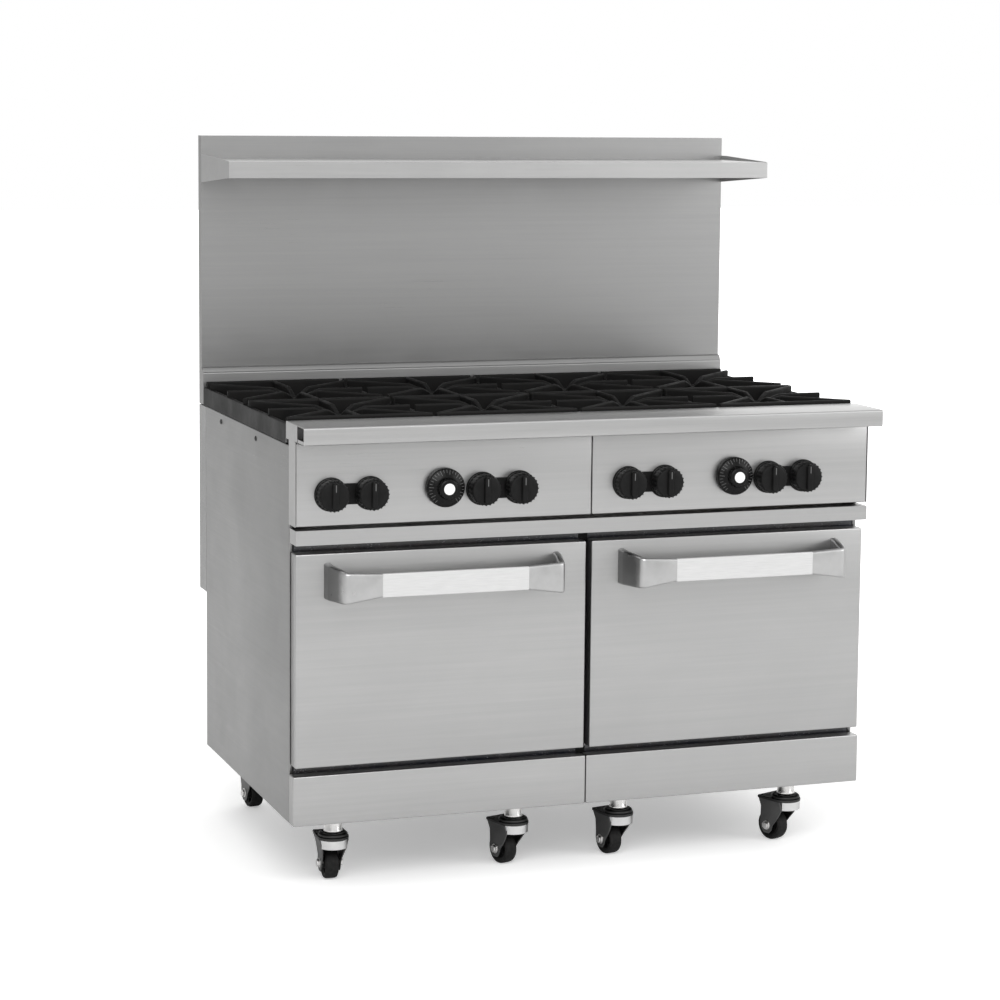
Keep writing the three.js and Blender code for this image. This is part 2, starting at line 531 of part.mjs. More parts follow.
function casterWheel() {
  const w = WHEEL_WIDTH / 2;
  const tread = [
    [5.6, -w], [13, -w], [27, -w + 1], [WHEEL_RADIUS, -w + 5], [WHEEL_RADIUS, w - 5], [27, w - 1], [13, w],
    [5.6, w], [5.6, -w],
  ];
  return turned(tread, 18).rotate([0, 90, 0]).translate([0, TRAIL, WHEEL_RADIUS]);
}

// ---- assembly ----------------------------------------------------------------------------------------
const range = new THREE.Group();
const add = (name, body, material) => range.add(mesh(name, body, material));

add("base_frame", baseFrame(), BLACK_ENAMEL);
add("rear_panel", rearPanel(), ALUMINISED);
add("back_riser", backRiser(), STAINLESS);
add("high_shelf", highShelf(), STAINLESS);
add("front_ledge", frontLedge(), STAINLESS);
add("crumb_tray", crumbTray(), STAINLESS);
add("cooktop_frame", cooktopFrame(), BLACK_ENAMEL);
add("gas_manifold", gasManifold(), BRASS);

for (const [name, side] of [["left", -1], ["right", 1]]) {
  add(`${name}_side_panel`, sidePanel(side), STAINLESS);
  add(`control_panel_${name}`, controlPanel(side), STAINLESS);
  add(`kick_plate_${name}`, kickPlate(side), STAINLESS);
  add(`oven_liner_${name}`, ovenLiner(side), OVEN_ENAMEL);
  add(`door_outer_${name}`, doorOuter(side), STAINLESS);
  add(`door_liner_${name}`, doorLiner(side), OVEN_ENAMEL);
  add(`door_handle_${name}`, doorHandle(side), CAST_ALUMINIUM);
}

COLUMN_X.forEach((_, column) => {
  add(`grate_front_${column + 1}`, grate(column, [GRATE_FRONT, GRATE_SPLIT]), CAST_IRON);
  add(`grate_rear_${column + 1}`, grate(column, [GRATE_SPLIT, GRATE_BACK]), CAST_IRON);
  add(`burner_pair_${column + 1}`, burnerPair(column), CAST_BURNER);
});

const { knobs, dials } = controlSpots();
knobs.forEach((spot, i) => add(`burner_knob_${i + 1}`, burnerKnob(spot), BLACK_PLASTIC));
dials.forEach((spot, i) => add(`oven_dial_${["left", "right"][i]}`, ovenDial(spot), GLOSS_PLASTIC));

stemPositions().forEach(([x, y], i) => {
  const turn = TRAIL_TURN[i];
  const place = (body) => body.rotate([0, 0, turn]).translate([x, y, 0]);
  add(`caster_fork_${i + 1}`, place(casterFork()), ZINC);
  add(`caster_wheel_${i + 1}`, place(casterWheel()), RUBBER);
});

export default range;
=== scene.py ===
"""The looks of the restaurant gas range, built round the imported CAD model.

Geometry is drawn in millimetres in the model's own frame (+X right, +Y towards the wall, +Z up) and scaled
to metres as each piece is made. Materials work in metres.
"""

import json
import math

import bmesh
import bpy
from mathutils import Matrix, Vector

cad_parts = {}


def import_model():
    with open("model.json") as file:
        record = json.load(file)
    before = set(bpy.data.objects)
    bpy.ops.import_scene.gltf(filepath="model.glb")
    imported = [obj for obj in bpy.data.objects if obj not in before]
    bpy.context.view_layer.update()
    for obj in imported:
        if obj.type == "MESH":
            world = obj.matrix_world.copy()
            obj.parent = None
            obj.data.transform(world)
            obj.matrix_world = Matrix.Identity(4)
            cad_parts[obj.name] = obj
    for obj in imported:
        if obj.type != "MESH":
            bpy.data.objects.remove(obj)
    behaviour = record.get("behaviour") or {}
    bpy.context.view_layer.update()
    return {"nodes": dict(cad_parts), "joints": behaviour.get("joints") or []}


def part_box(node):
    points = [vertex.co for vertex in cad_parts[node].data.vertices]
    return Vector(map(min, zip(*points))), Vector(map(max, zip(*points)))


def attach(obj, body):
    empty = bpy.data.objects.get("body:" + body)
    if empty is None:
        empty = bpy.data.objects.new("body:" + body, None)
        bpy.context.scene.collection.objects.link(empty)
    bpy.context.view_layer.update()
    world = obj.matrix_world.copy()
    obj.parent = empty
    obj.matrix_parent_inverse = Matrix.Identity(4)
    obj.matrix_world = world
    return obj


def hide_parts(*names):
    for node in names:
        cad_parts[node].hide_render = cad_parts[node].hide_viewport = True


MM = 0.001
SHEET = 1.5  # thickness of folded stainless sheet
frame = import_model()
scene = bpy.context.scene


def span(node):
    """A CAD node's lowest and highest corners in millimetres."""
    low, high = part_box(node)
    return low / MM, high / MM


def centre_of(node):
    low, high = span(node)
    return (low + high) / 2


# ---- materials -----------------------------------------------------------------------------------


class Look:
    """A Principled material whose detail comes from the position on the object, in metres."""

    def __init__(self, name, metallic=0.0, **inputs):
        self.material = bpy.data.materials.new(name)
        self.material.use_nodes = True
        self.tree = self.material.node_tree
        self.shader = self.tree.nodes["Principled BSDF"]
        self.shader.inputs["Metallic"].default_value = metallic
        for key, value in inputs.items():
            self.shader.inputs[key.replace("_", " ")].default_value = value
        self.place = self.tree.nodes.new("ShaderNodeTexCoord").outputs["Object"]

    def put(self, key, value):
        """Feeds a shader input from a socket or a plain value."""
        self.feed(self.shader.inputs[key], value)

    def feed(self, socket, value):
        if isinstance(value, bpy.types.NodeSocket):
            self.tree.links.new(value, socket)
        else:
            socket.default_value = value

    def stretched(self, scale):
        node = self.tree.nodes.new("ShaderNodeVectorMath")
        node.operation = "MULTIPLY"
        self.feed(node.inputs[0], self.place)
        node.inputs[1].default_value = scale
        return node.outputs["Vector"]

    def noise(self, scale, detail=3.0, roughness=0.55, distortion=0.0):
        node = self.tree.nodes.new("ShaderNodeTexNoise")
        self.feed(node.inputs["Vector"], self.stretched(scale))
        node.inputs["Scale"].default_value = 1.0
        node.inputs["Detail"].default_value = detail
        node.inputs["Roughness"].default_value = roughness
        node.inputs["Distortion"].default_value = distortion
        return node.outputs["Fac"]

    def cells(self, scale):
        node = self.tree.nodes.new("ShaderNodeTexVoronoi")
        self.feed(node.inputs["Vector"], self.stretched(scale))
        node.inputs["Scale"].default_value = 1.0
        return node.outputs["Distance"]

    def remap(self, value, from_low, from_high, to_low, to_high):
        node = self.tree.nodes.new("ShaderNodeMapRange")
        keys = ("Value", "From Min", "From Max", "To Min", "To Max")
        for key, setting in zip(keys, (value, from_low, from_high, to_low, to_high)):
            self.feed(node.inputs[key], setting)
        return node.outputs["Result"]

    def maths(self, operation, a, b):
        node = self.tree.nodes.new("ShaderNodeMath")
        node.operation = operation
        self.feed(node.inputs[0], a)
        self.feed(node.inputs[1], b)
        return node.outputs["Value"]

    def blend(self, factor, a, b):
        node = self.tree.nodes.new("ShaderNodeMix")
        node.data_type = "RGBA"
        self.feed(node.inputs["Factor"], factor)
        for key, colour in (("A", a), ("B", b)):
            socket = next(s for s in node.inputs if s.name == key and s.type == "RGBA")
            self.feed(socket, (*colour, 1.0) if isinstance(colour, tuple) else colour)
        return next(s for s in node.outputs if s.type == "RGBA")

    def bump(self, height, distance, strength=1.0, normal=None):
        node = self.tree.nodes.new("ShaderNodeBump")
        self.feed(node.inputs["Height"], height)
        node.inputs["Distance"].default_value = distance
        node.inputs["Strength"].default_value = strength
        if normal is not None:
            self.feed(node.inputs["Normal"], normal)
        return node.outputs["Normal"]

    def edges(self, radius, sharpness=6.0):
        """1 near the object's edges and 0 on its flats."""
        bevel = self.tree.nodes.new("ShaderNodeBevel")
        bevel.samples = 4
        bevel.inputs["Radius"].default_value = radius
        plain = self.tree.nodes.new("ShaderNodeNewGeometry")
        dot = self.tree.nodes.new("ShaderNodeVectorMath")
        dot.operation = "DOT_PRODUCT"
        self.feed(dot.inputs[0], bevel.outputs["Normal"])
        self.feed(dot.inputs[1], plain.outputs["Normal"])
        return self.remap(dot.outputs["Value"], 1.0, 1.0 - 1.0 / sharpness, 0.0, 1.0)


def grey(value, warm=0.0):
    return (value * (1 + warm), value, value * (1 - warm))


def brushed_steel(name, grain, tone, roughness=0.33):
    """Sheet with a satin grain along one axis and faint smears; its tone varies from sheet to sheet."""
    look = Look(name, metallic=1.0)
    each = look.tree.nodes.new("ShaderNodeObjectInfo").outputs["Random"]
    if grain == "x":
        fine, broad = (5, 1100, 1100), (2.2, 120, 120)
    else:
        fine, broad = (1100, 5, 1100), (120, 2.2, 120)
    hairs = look.noise(fine, 4.0)
    streaks = look.noise(broad, 3.0)
    smears = look.noise((4.0, 4.0, 5.5), 4.0, 0.6, 0.6)
    mixed = look.maths("ADD", look.maths("MULTIPLY", hairs, 0.5), look.maths("MULTIPLY", streaks, 0.5))
    worn = look.blend(look.remap(mixed, 0.3, 0.7, 0.0, 1.0), grey(tone * 0.93), grey(tone * 1.06, 0.004))
    hazed = look.blend(look.remap(smears, 0.35, 0.75, 0.0, 0.22), worn, grey(tone * 0.86))
    look.put("Base Color", look.blend(look.remap(each, 0.0, 1.0, 0.0, 0.35), hazed, grey(tone * 0.92)))
    broad_gloss = look.remap(smears, 0.3, 0.75, roughness - 0.03, roughness + 0.07)
    look.put("Roughness", look.maths("ADD", broad_gloss, look.remap(hairs, 0.3, 0.7, -0.04, 0.04)))
    look.put("Normal", look.bump(mixed, 0.00003, 0.35))
    look.put("Anisotropic", 0.35)
    return look.material


def dull_sheet(name, tone):
    """Aluminised sheet: a soft crystalline mottle and low contrast scratches."""
    look = Look(name, metallic=0.9)
    mottle = look.cells((240, 240, 240))
    dust = look.noise((14, 14, 14), 5.0)
    crystals = look.remap(mottle, 0.1, 0.7, 0.0, 1.0)
    look.put("Base Color", look.blend(crystals, grey(tone * 0.85), grey(tone)))
    look.put("Roughness", look.remap(dust, 0.3, 0.7, 0.42, 0.62))
    look.put("Normal", look.bump(look.noise((300, 300, 300)), 0.00005, 0.5))
    return look.material


def cast_iron(name, tone):
    """Sand-cast and seasoned: grainy, almost black, rubbed greyer along its edges, with burnt-on film."""
    look = Look(name, Specular_IOR_Level=0.17)
    sand = look.noise((950, 950, 950), 3.0, 0.6)
    lumps = look.noise((140, 140, 140), 3.0)
    film = look.noise((22, 22, 22), 5.0, 0.65)
    body = look.blend(look.remap(film, 0.35, 0.7, 0.0, 1.0), grey(tone * 0.7), grey(tone * 1.35, 0.05))
    rubbed = look.maths("MULTIPLY", look.edges(0.0016), look.remap(lumps, 0.35, 0.65, 0.25, 0.9))
    look.put("Base Color", look.blend(rubbed, body, grey(tone * 3.2)))
    look.put("Roughness", look.remap(film, 0.3, 0.75, 0.5, 0.8))
    rough = look.bump(lumps, 0.0006, 0.5)
    look.put("Normal", look.bump(sand, 0.00025, 0.7, rough))
    return look.material


def cast_burner(name):
    """Bare grey iron tinted brown by heat."""
    look = Look(name, metallic=0.5)
    sand = look.noise((800, 800, 800))
    heat = look.noise((18, 18, 18), 4.0, 0.6)
    tint = look.remap(heat, 0.35, 0.65, 0.0, 1.0)
    look.put("Base Color", look.blend(tint, (0.13, 0.12, 0.11), (0.24, 0.20, 0.17)))
    look.put("Roughness", look.remap(heat, 0.3, 0.7, 0.55, 0.8))
    look.put("Normal", look.bump(sand, 0.0003, 0.8))
    return look.material


def black_enamel(name, tone):
    """Glossy black coat with orange peel and a greasy haze."""
    look = Look(name, Specular_IOR_Level=0.1)
    haze = look.noise((9, 9, 9), 4.0, 0.6)
    film = look.remap(haze, 0.35, 0.7, 0.0, 1.0)
    look.put("Base Color", look.blend(film, grey(tone * 0.8), grey(tone * 1.25)))
    look.put("Roughness", look.remap(haze, 0.3, 0.7, 0.34, 0.55))
    look.put("Normal", look.bump(look.noise((260, 260, 260), 2.0), 0.0001, 0.4))
    return look.material


def speckled_enamel(name):
    """Blue-black oven porcelain with pale specks."""
    look = Look(name, Specular_IOR_Level=0.5, Coat_Weight=0.5, Coat_Roughness=0.12)
    specks = look.remap(look.cells((330, 330, 330)), 0.16, 0.22, 1.0, 0.0)
    chosen = look.maths("MULTIPLY", specks, look.remap(look.noise((90, 90, 90), 1.0), 0.5, 0.6, 0.0, 1.0))
    bake = look.noise((8, 8, 8), 4.0)
    body = look.blend(look.remap(bake, 0.35, 0.7, 0.0, 1.0), (0.017, 0.020, 0.030), (0.040, 0.034, 0.034))
    look.put("Base Color", look.blend(chosen, body, (0.42, 0.44, 0.47)))
    look.put("Roughness", look.remap(bake, 0.3, 0.7, 0.16, 0.34))
    look.put("Normal", look.bump(look.noise((180, 180, 180), 2.0), 0.00015, 0.4))
    return look.material


def moulded_plastic(name, tone, roughness, edge_tone):
    """Black phenolic: fine moulding texture, corners polished by fingers, and faint dust."""
    look = Look(name, Specular_IOR_Level=0.14)
    dust = look.noise((60, 60, 60), 4.0, 0.6)
    grain = look.noise((1500, 1500, 1500), 2.0)
    body = look.blend(look.remap(dust, 0.4, 0.75, 0.0, 1.0), grey(tone * 0.85), grey(tone * 1.5))
    polished = look.maths("MULTIPLY", look.edges(0.001), 0.6)
    look.put("Base Color", look.blend(polished, body, grey(edge_tone)))
    look.put("Roughness", look.remap(dust, 0.3, 0.7, roughness - 0.06, roughness + 0.08))
    look.put("Normal", look.bump(grain, 0.00004, 0.5))
    return look.material


def satin_metal(name, tone, roughness, grain, depth, warm=0.0):
    """A casting or plated part: tonal patches and a fine all-round texture."""
    look = Look(name, metallic=1.0)
    patches = look.noise((30, 30, 30), 4.0, 0.6)
    texture = look.noise((grain, grain, grain), 3.0)
    tarnish = look.remap(patches, 0.35, 0.7, 0.0, 1.0)
    look.put("Base Color", look.blend(tarnish, grey(tone * 0.86, warm), grey(tone, warm)))
    look.put("Roughness", look.remap(patches, 0.3, 0.7, roughness - 0.05, roughness + 0.09))
    look.put("Normal", look.bump(texture, depth, 0.5))
    return look.material


def handle_casting(name, clean, shade_tone):
    """Satin aluminium, darkened towards the door by painted shade."""
    look = Look(name, metallic=1.0)
    patches = look.noise((30, 30, 30), 4.0, 0.6)
    front, door = span("door_handle_left")[0].y * MM, span("door_outer_left")[0].y * MM
    apart = look.tree.nodes.new("ShaderNodeSeparateXYZ")
    look.feed(apart.inputs[0], look.place)
    depth = look.maths("ADD", apart.outputs["Y"], look.remap(patches, 0.3, 0.7, -0.006, 0.006))
    # Painted shade: the casting's colour darkens as it nears the door.
    door_shade = look.remap(depth, front + 0.006, front + 0.026, 0.0, 1.0)
    cast = look.blend(look.remap(patches, 0.35, 0.7, 0.0, 1.0), grey(clean * 0.9), grey(clean))
    look.put("Base Color", look.blend(door_shade, cast, grey(shade_tone)))
    look.put("Roughness", look.remap(patches, 0.3, 0.7, 0.27, 0.41))
    look.put("Normal", look.bump(look.noise((500, 500, 500), 3.0), 0.0001, 0.5))
    return look.material


def white_plate(name):
    """The pale satin badge plate on each handle, left plain."""
    look = Look(name, metallic=0.25, Specular_IOR_Level=0.5)
    hairs = look.noise((30, 900, 900), 3.0)
    wipes = look.noise((20, 20, 20), 3.0)
    look.put("Base Color", look.blend(look.remap(hairs, 0.3, 0.7, 0.0, 1.0), grey(0.54), grey(0.62)))
    look.put("Roughness", look.remap(wipes, 0.3, 0.7, 0.34, 0.5))
    look.put("Normal", look.bump(hairs, 0.00003, 0.4))
    return look.material


def rubber(name):
    """Solid tyre: dusty, with mottled wear."""
    look = Look(name, Specular_IOR_Level=0.16)
    scuffs = look.noise((160, 160, 160), 4.0, 0.65)
    worn = look.remap(scuffs, 0.42, 0.75, 0.0, 1.0)
    look.put("Base Color", look.blend(worn, grey(0.008), grey(0.022, 0.03)))
    look.put("Roughness", look.remap(scuffs, 0.3, 0.7, 0.5, 0.75))
    look.put("Normal", look.bump(scuffs, 0.0003, 0.5))
    return look.material


def print_white(name, tone):
    """Pad-printed marks, thinned where fingers touch them."""
    look = Look(name)
    wear = look.noise((700, 700, 700), 3.0)
    thinned = look.remap(wear, 0.55, 0.8, 0.0, 1.0)
    look.put("Base Color", look.blend(thinned, grey(tone), grey(tone * 0.6)))
    look.put("Roughness", look.remap(wear, 0.3, 0.7, 0.35, 0.5))
    return look.material


def gasket_braid(name):
    """Dark woven glass-fibre seal."""
    look = Look(name)
    weave = look.cells((420, 420, 420))
    strands = look.remap(weave, 0.1, 0.6, 0.0, 1.0)
    look.put("Base Color", look.blend(strands, grey(0.07, 0.1), grey(0.02)))
    look.put("Roughness", look.remap(weave, 0.1, 0.6, 0.7, 0.95))
    look.put("Normal", look.bump(weave, 0.0006, 0.8))
    return look.material


STEEL_X = brushed_steel("stainless_grain_x", "x", 0.455)
# Painted shade: the side panels (grain along y) and the riser use darker copies of the front's stainless,
# standing in for the shade on the sides and under the shelf.
SHADED_STEEL_Y = brushed_steel("stainless_grain_y_shaded", "y", 0.325)
SHADED_STEEL_BACK = brushed_steel("stainless_riser_shaded", "x", 0.335, 0.34)
SHEET_DULL = dull_sheet("aluminised_sheet", 0.44)
IRON = cast_iron("cast_iron", 0.006)
BURNER = cast_burner("cast_burner")
ENAMEL = black_enamel("black_enamel", 0.012)
# Black frame paint, chosen so the frame seen through the gaps between panels reads dark: partly the frame's
# own paint, partly painted shade in the gaps.
PAINT_AND_GAP_SHADE = black_enamel("frame_paint_and_gap_shade", 0.012)
PORCELAIN = speckled_enamel("oven_porcelain")
KNOB_BLACK = moulded_plastic("knob_phenolic", 0.006, 0.42, 0.022)
DIAL_BLACK = moulded_plastic("dial_phenolic", 0.005, 0.26, 0.018)
CASTING = handle_casting("handle_casting", 0.5, 0.22)
PLATE = white_plate("handle_plate")
ZINC = satin_metal("zinc_plating", 0.86, 0.26, 900, 0.00004, 0.01)
# Painted shade: the caster fork's cheeks take a much darker copy of the band's zinc, for the shaded sides of
# the rounded fork.
SHADED_FORK_ZINC = satin_metal("fork_zinc_shaded", 0.16, 0.4, 700, 0.00006)
FORK_ZINC = satin_metal("fork_zinc", 0.72, 0.3, 900, 0.00004)
DARK_STEEL = satin_metal("blackened_steel", 0.06, 0.42, 700, 0.00008)
CHROME = satin_metal("chrome_wire", 0.72, 0.16, 1200, 0.00002)
BRASS = satin_metal("brass", 0.46, 0.30, 900, 0.00003, 0.42)
TYRE = rubber("tyre_rubber")
MARKS = print_white("printed_marks", 0.82)
FAINT_MARKS = print_white("printed_marks_faint", 0.10)
GASKET = gasket_braid("door_gasket")

# ---- drawing -------------------------------------------------------------------------------------


def draw_prism(bm, outline, axis, low, high):
    """Extends an outline along an axis; its points are (y, z) for x, (x, z) for y and (x, y) for z."""
    order = {"x": (2, 0, 1), "y": (0, 2, 1), "z": (0, 1, 2)}[axis]

    def corner(a, b, along):
        return bm.verts.new([(a, b, along)[i] for i in order])

    near = [corner(a, b, low) for a, b in outline]
    far = [corner(a, b, high) for a, b in outline]
    bm.faces.new(near)
    bm.faces.new(list(reversed(far)))
    for i in range(len(outline)):
        j = (i + 1) % len(outline)
        bm.faces.new((near[i], far[i], far[j], near[j]))
    return near + far


def draw_block(bm, low, high):
    (x0, y0, z0), (x1, y1, z1) = low, high
    return draw_prism(bm, [(x0, y0), (x1, y0), (x1, y1), (x0, y1)], "z", z0, z1)


def draw_rings(bm, rings, closed_ends=True, looped=False):
    """A skin over rings of points; every ring has the same number of points."""
    made = [[bm.verts.new(p) for p in ring] for ring in rings]
    pairs = list(zip(made, made[1:])) + ([(made[-1], made[0])] if looped else [])
    for a, b in pairs:
        for i in range(len(a)):
            j = (i + 1) % len(a)
            bm.faces.new((a[i], a[j], b[j], b[i]))
    if closed_ends and not looped:
        bm.faces.new(list(reversed(made[0])))
        bm.faces.new(made[-1])
    return [v for ring in made for v in ring]


def draw_turned(bm, profile, place=Matrix.Identity(4), sides=48, looped=False):
    """Revolves (radius, height) pairs about +Z, then moves the result with a matrix."""
    rings = []
    for radius, height in profile:
        turns = [2 * math.pi * i / sides for i in range(sides)]
        rings.append([place @ Vector((radius * math.cos(t), radius * math.sin(t), height)) for t in turns])
    return draw_rings(bm, rings, looped=looped)


def draw_tube(bm, points, radius, sides=10):
    """A round wire through points; its ends are closed."""
    points = [Vector(p) for p in points]
    rings = []
    guide = None
    for i, p in enumerate(points):
        ahead = (points[min(i + 1, len(points) - 1)] - points[max(i - 1, 0)]).normalized()
        if guide is None:
            guide = ahead.orthogonal().normalized()
        guide = (guide - ahead * guide.dot(ahead)).normalized()
        other = ahead.cross(guide)
        turns = [2 * math.pi * k / sides for k in range(sides)]
        rings.append([p + radius * (guide * math.cos(t) + other * math.sin(t)) for t in turns])
    return draw_rings(bm, rings)


def fillet(points, radius, steps=4):
    """A polyline with its inner corners rounded."""
    made = [Vector(points[0])]
    for before, corner, after in zip(points, points[1:], points[2:]):
        before, corner, after = Vector(before), Vector(corner), Vector(after)
        back = (before - corner).normalized()
        on = (after - corner).normalized()
        half = back.angle(on) / 2
        reach = min(radius / math.tan(half), (before - corner).length / 2, (after - corner).length / 2)
        start = corner + back * reach
        end = corner + on * reach
        for i in range(steps + 1):
            t = i / steps
            made.append(start * (1 - t) ** 2 + corner * 2 * t * (1 - t) + end * t * t)
    return made + [Vector(points[-1])]


def folded(path, thickness, radius):
    """The closed outline of a folded sheet: the path is its outer face, and the material lies to the left."""
    inner = []
    for i, p in enumerate(path):
        p = Vector(p)
        normals = []
        for a, b in ((i - 1, i), (i, i + 1)):
            if a >= 0 and b < len(path):
                d = (Vector(path[b]) - Vector(path[a])).normalized()
                normals.append(Vector((-d.y, d.x)))
        bisector = sum(normals, Vector((0, 0))).normalized()
        inner.append(p + bisector * thickness / bisector.dot(normals[0]))
    outside = fillet(path, radius)
    inside = fillet(inner, max(radius - thickness, 0.4))
    return [tuple(p) for p in outside] + [tuple(p) for p in reversed(inside)]


def piece(name, bm, material, body, place=None, replaces=(), bevel=0.0, segments=2, crease=38):
    """Turns a drawing in millimetres into an object that rides on a body; a matrix may move it first."""
    if place is not None:
        bmesh.ops.transform(bm, matrix=place, verts=bm.verts)
    bmesh.ops.recalc_face_normals(bm, faces=bm.faces)
    bmesh.ops.scale(bm, vec=(MM, MM, MM), verts=bm.verts)
    mesh = bpy.data.meshes.new(name)
    bm.to_mesh(mesh)
    bm.free()
    made = bpy.data.objects.new(name, mesh)
    scene.collection.objects.link(made)
    mesh.materials.append(material)
    mesh.shade_smooth()
    mesh.set_sharp_from_angle(angle=math.radians(crease))
    if bevel:
        add_bevel(made, bevel, segments)
    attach(made, body)
    if replaces:
        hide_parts(*replaces)
    return made


def add_bevel(thing, width, segments):
    rounding = thing.modifiers.new("rounding", "BEVEL")
    rounding.width = width * MM
    rounding.segments = segments
    rounding.limit_method = "ANGLE"
    rounding.angle_limit = math.radians(32)
    rounding.harden_normals = False


def finish_node(name, material, bevel=0.6):
    """Keeps a CAD node's shape, and gives it softened edges and a real material."""
    node = frame["nodes"][name]
    node.data.materials.clear()
    node.data.materials.append(material)
    weld = node.modifiers.new("weld", "WELD")
    weld.merge_threshold = 0.00002
    add_bevel(node, bevel, 2)


def pan(name, node, open_side, material, body, radius=2.5, shorten=0.0):
    """A folded sheet pan in a CAD node's place: rolled edges, one side open."""
    low, high = span(node)
    high.y -= shorten
    bm = bmesh.new()
    draw_block(bm, low, high)
    axis, sign = {"back": (1, 1), "left": (0, -1), "right": (0, 1)}[open_side]
    bmesh.ops.recalc_face_normals(bm, faces=bm.faces)
    bm.normal_update()
    mouth = next(f for f in bm.faces if f.normal[axis] * sign > 0.9)
    rolled = [e for e in bm.edges if mouth not in e.link_faces]
    bmesh.ops.bevel(
        bm, geom=rolled, offset=radius, segments=4, profile=0.5, affect="EDGES", clamp_overlap=True
    )
    bm.normal_update()
    mouths = [f for f in bm.faces if f.normal[axis] * sign > 0.99]
    bmesh.ops.delete(bm, geom=mouths, context="FACES_ONLY")
    made = piece(name, bm, material, body, replaces=(node,), crease=50)
    sheet = made.modifiers.new("sheet", "SOLIDIFY")
    sheet.thickness = SHEET * MM
    sheet.offset = -1.0


# ---- body panels ---------------------------------------------------------------------------------


def screw(bm, at, facing, radius=5.0, height=2.4):
    """A truss-head screw with a cross recess, standing on a point and facing along an axis."""
    turn = Vector((0, 0, 1)).rotation_difference(Vector(facing)).to_matrix().to_4x4()
    place = Matrix.Translation(Vector(at)) @ turn
    profile = [
        (0.01, -0.4), (radius, -0.4), (radius, 0.5), (radius * 0.8, height * 0.75), (radius * 0.4, height),
        (0.01, height),
    ]
    draw_turned(bm, profile, place, 24)
    for angle in (0, math.pi / 2):
        arm = draw_block(bm, (-radius * 0.5, -0.5, height - 0.1), (radius * 0.5, 0.5, height + 0.12))
        bmesh.ops.transform(bm, matrix=place @ Matrix.Rotation(angle, 4, "Z"), verts=arm)


def body_panels():
    for side, inward in (("left", "right"), ("right", "left")):
        # The side skins take the darker stainless copy: painted shade on the sides.
        pan(f"{side}_side_skin", f"{side}_side_panel", inward, SHADED_STEEL_Y, "range", 2.0)
        pan(f"control_panel_skin_{side}", f"control_panel_{side}", "back", STEEL_X, "range")
        pan(f"kick_plate_skin_{side}", f"kick_plate_{side}", "back", STEEL_X, "range", shorten=3.5)
        pan(f"door_skin_{side}", f"door_outer_{side}", "back", STEEL_X, f"door_{side}", 3.0)
        finish_node(f"oven_liner_{side}", PORCELAIN, 0.8)
        finish_node(f"door_liner_{side}", PORCELAIN, 1.0)
    finish_node("base_frame", PAINT_AND_GAP_SHADE, 0.8)
    finish_node("rear_panel", SHEET_DULL, 0.6)
    finish_node("back_riser", SHADED_STEEL_BACK, 0.6)
    finish_node("high_shelf", STEEL_X, 0.6)
    finish_node("crumb_tray", STEEL_X, 0.6)
    finish_node("cooktop_frame", ENAMEL, 1.0)
    finish_node("gas_manifold", BRASS, 0.6)


def ledge():
    """The landing ledge: one folded sheet, open at its ends, and a cheek plate at each end."""
    low, high = span("front_ledge")
    panel_low = span("control_panel_left")[0]
    panel_front, panel_bottom = panel_low.y, panel_low.z
    side_front = span("left_side_panel")[0].y - 0.5
    nose_height = 34
    under = high.z - nose_height
    path = [(high.y, under - 8), (high.y, high.z), (low.y, high.z), (low.y, under), (panel_front + 6, under)]
    bm = bmesh.new()
    draw_prism(bm, folded(path, SHEET, 4.0), "x", low.x, high.x)
    cheek_front, cheek_top = panel_front - 15, high.z - 1.2
    cheek = [
        (panel_front, panel_bottom), (side_front, panel_bottom), (side_front, under), (high.y, under),
        (high.y, cheek_top), (cheek_front, cheek_top), (cheek_front, under), (panel_front, under),
    ]
    for x in (low.x, high.x - SHEET):
        draw_prism(bm, cheek, "x", x, x + SHEET)
        draw_block(bm, (x, low.y + 0.8, under), (x + SHEET, panel_front - 20, under + 8))
    piece("ledge_skin", bm, STEEL_X, "range", replaces=("front_ledge",), bevel=0.3)


def side_screws():
    for side, end, outward in (("left", 0, -1), ("right", 1, 1)):
        corners = span(f"{side}_side_panel")
        back, top = corners[1].y, corners[1].z
        bm = bmesh.new()
        for inset in (142, 437):
            screw(bm, (corners[end].x, back - inset, top - 17), (outward, 0, 0), 5.5)
        piece(f"{side}_side_screws", bm, DARK_STEEL, "range", crease=30)


def riser_trim():
    """The folded strip along the riser's foot: a rolled nose over an upright face."""
    low, high = span("back_riser")
    face, foot = low.y, low.z
    nose = [(face + 13.6, foot + 82), (face + 6.5, foot + 80), (face - 0.4, foot + 68)]
    bm = bmesh.new()
    draw_prism(bm, folded(nose + [(face - 0.4, foot + 3)], 1.2, 3.0), "x", low.x - 0.2, high.x + 0.2)
    piece("riser_trim_skin", bm, SHADED_STEEL_BACK, "range", bevel=0.2)


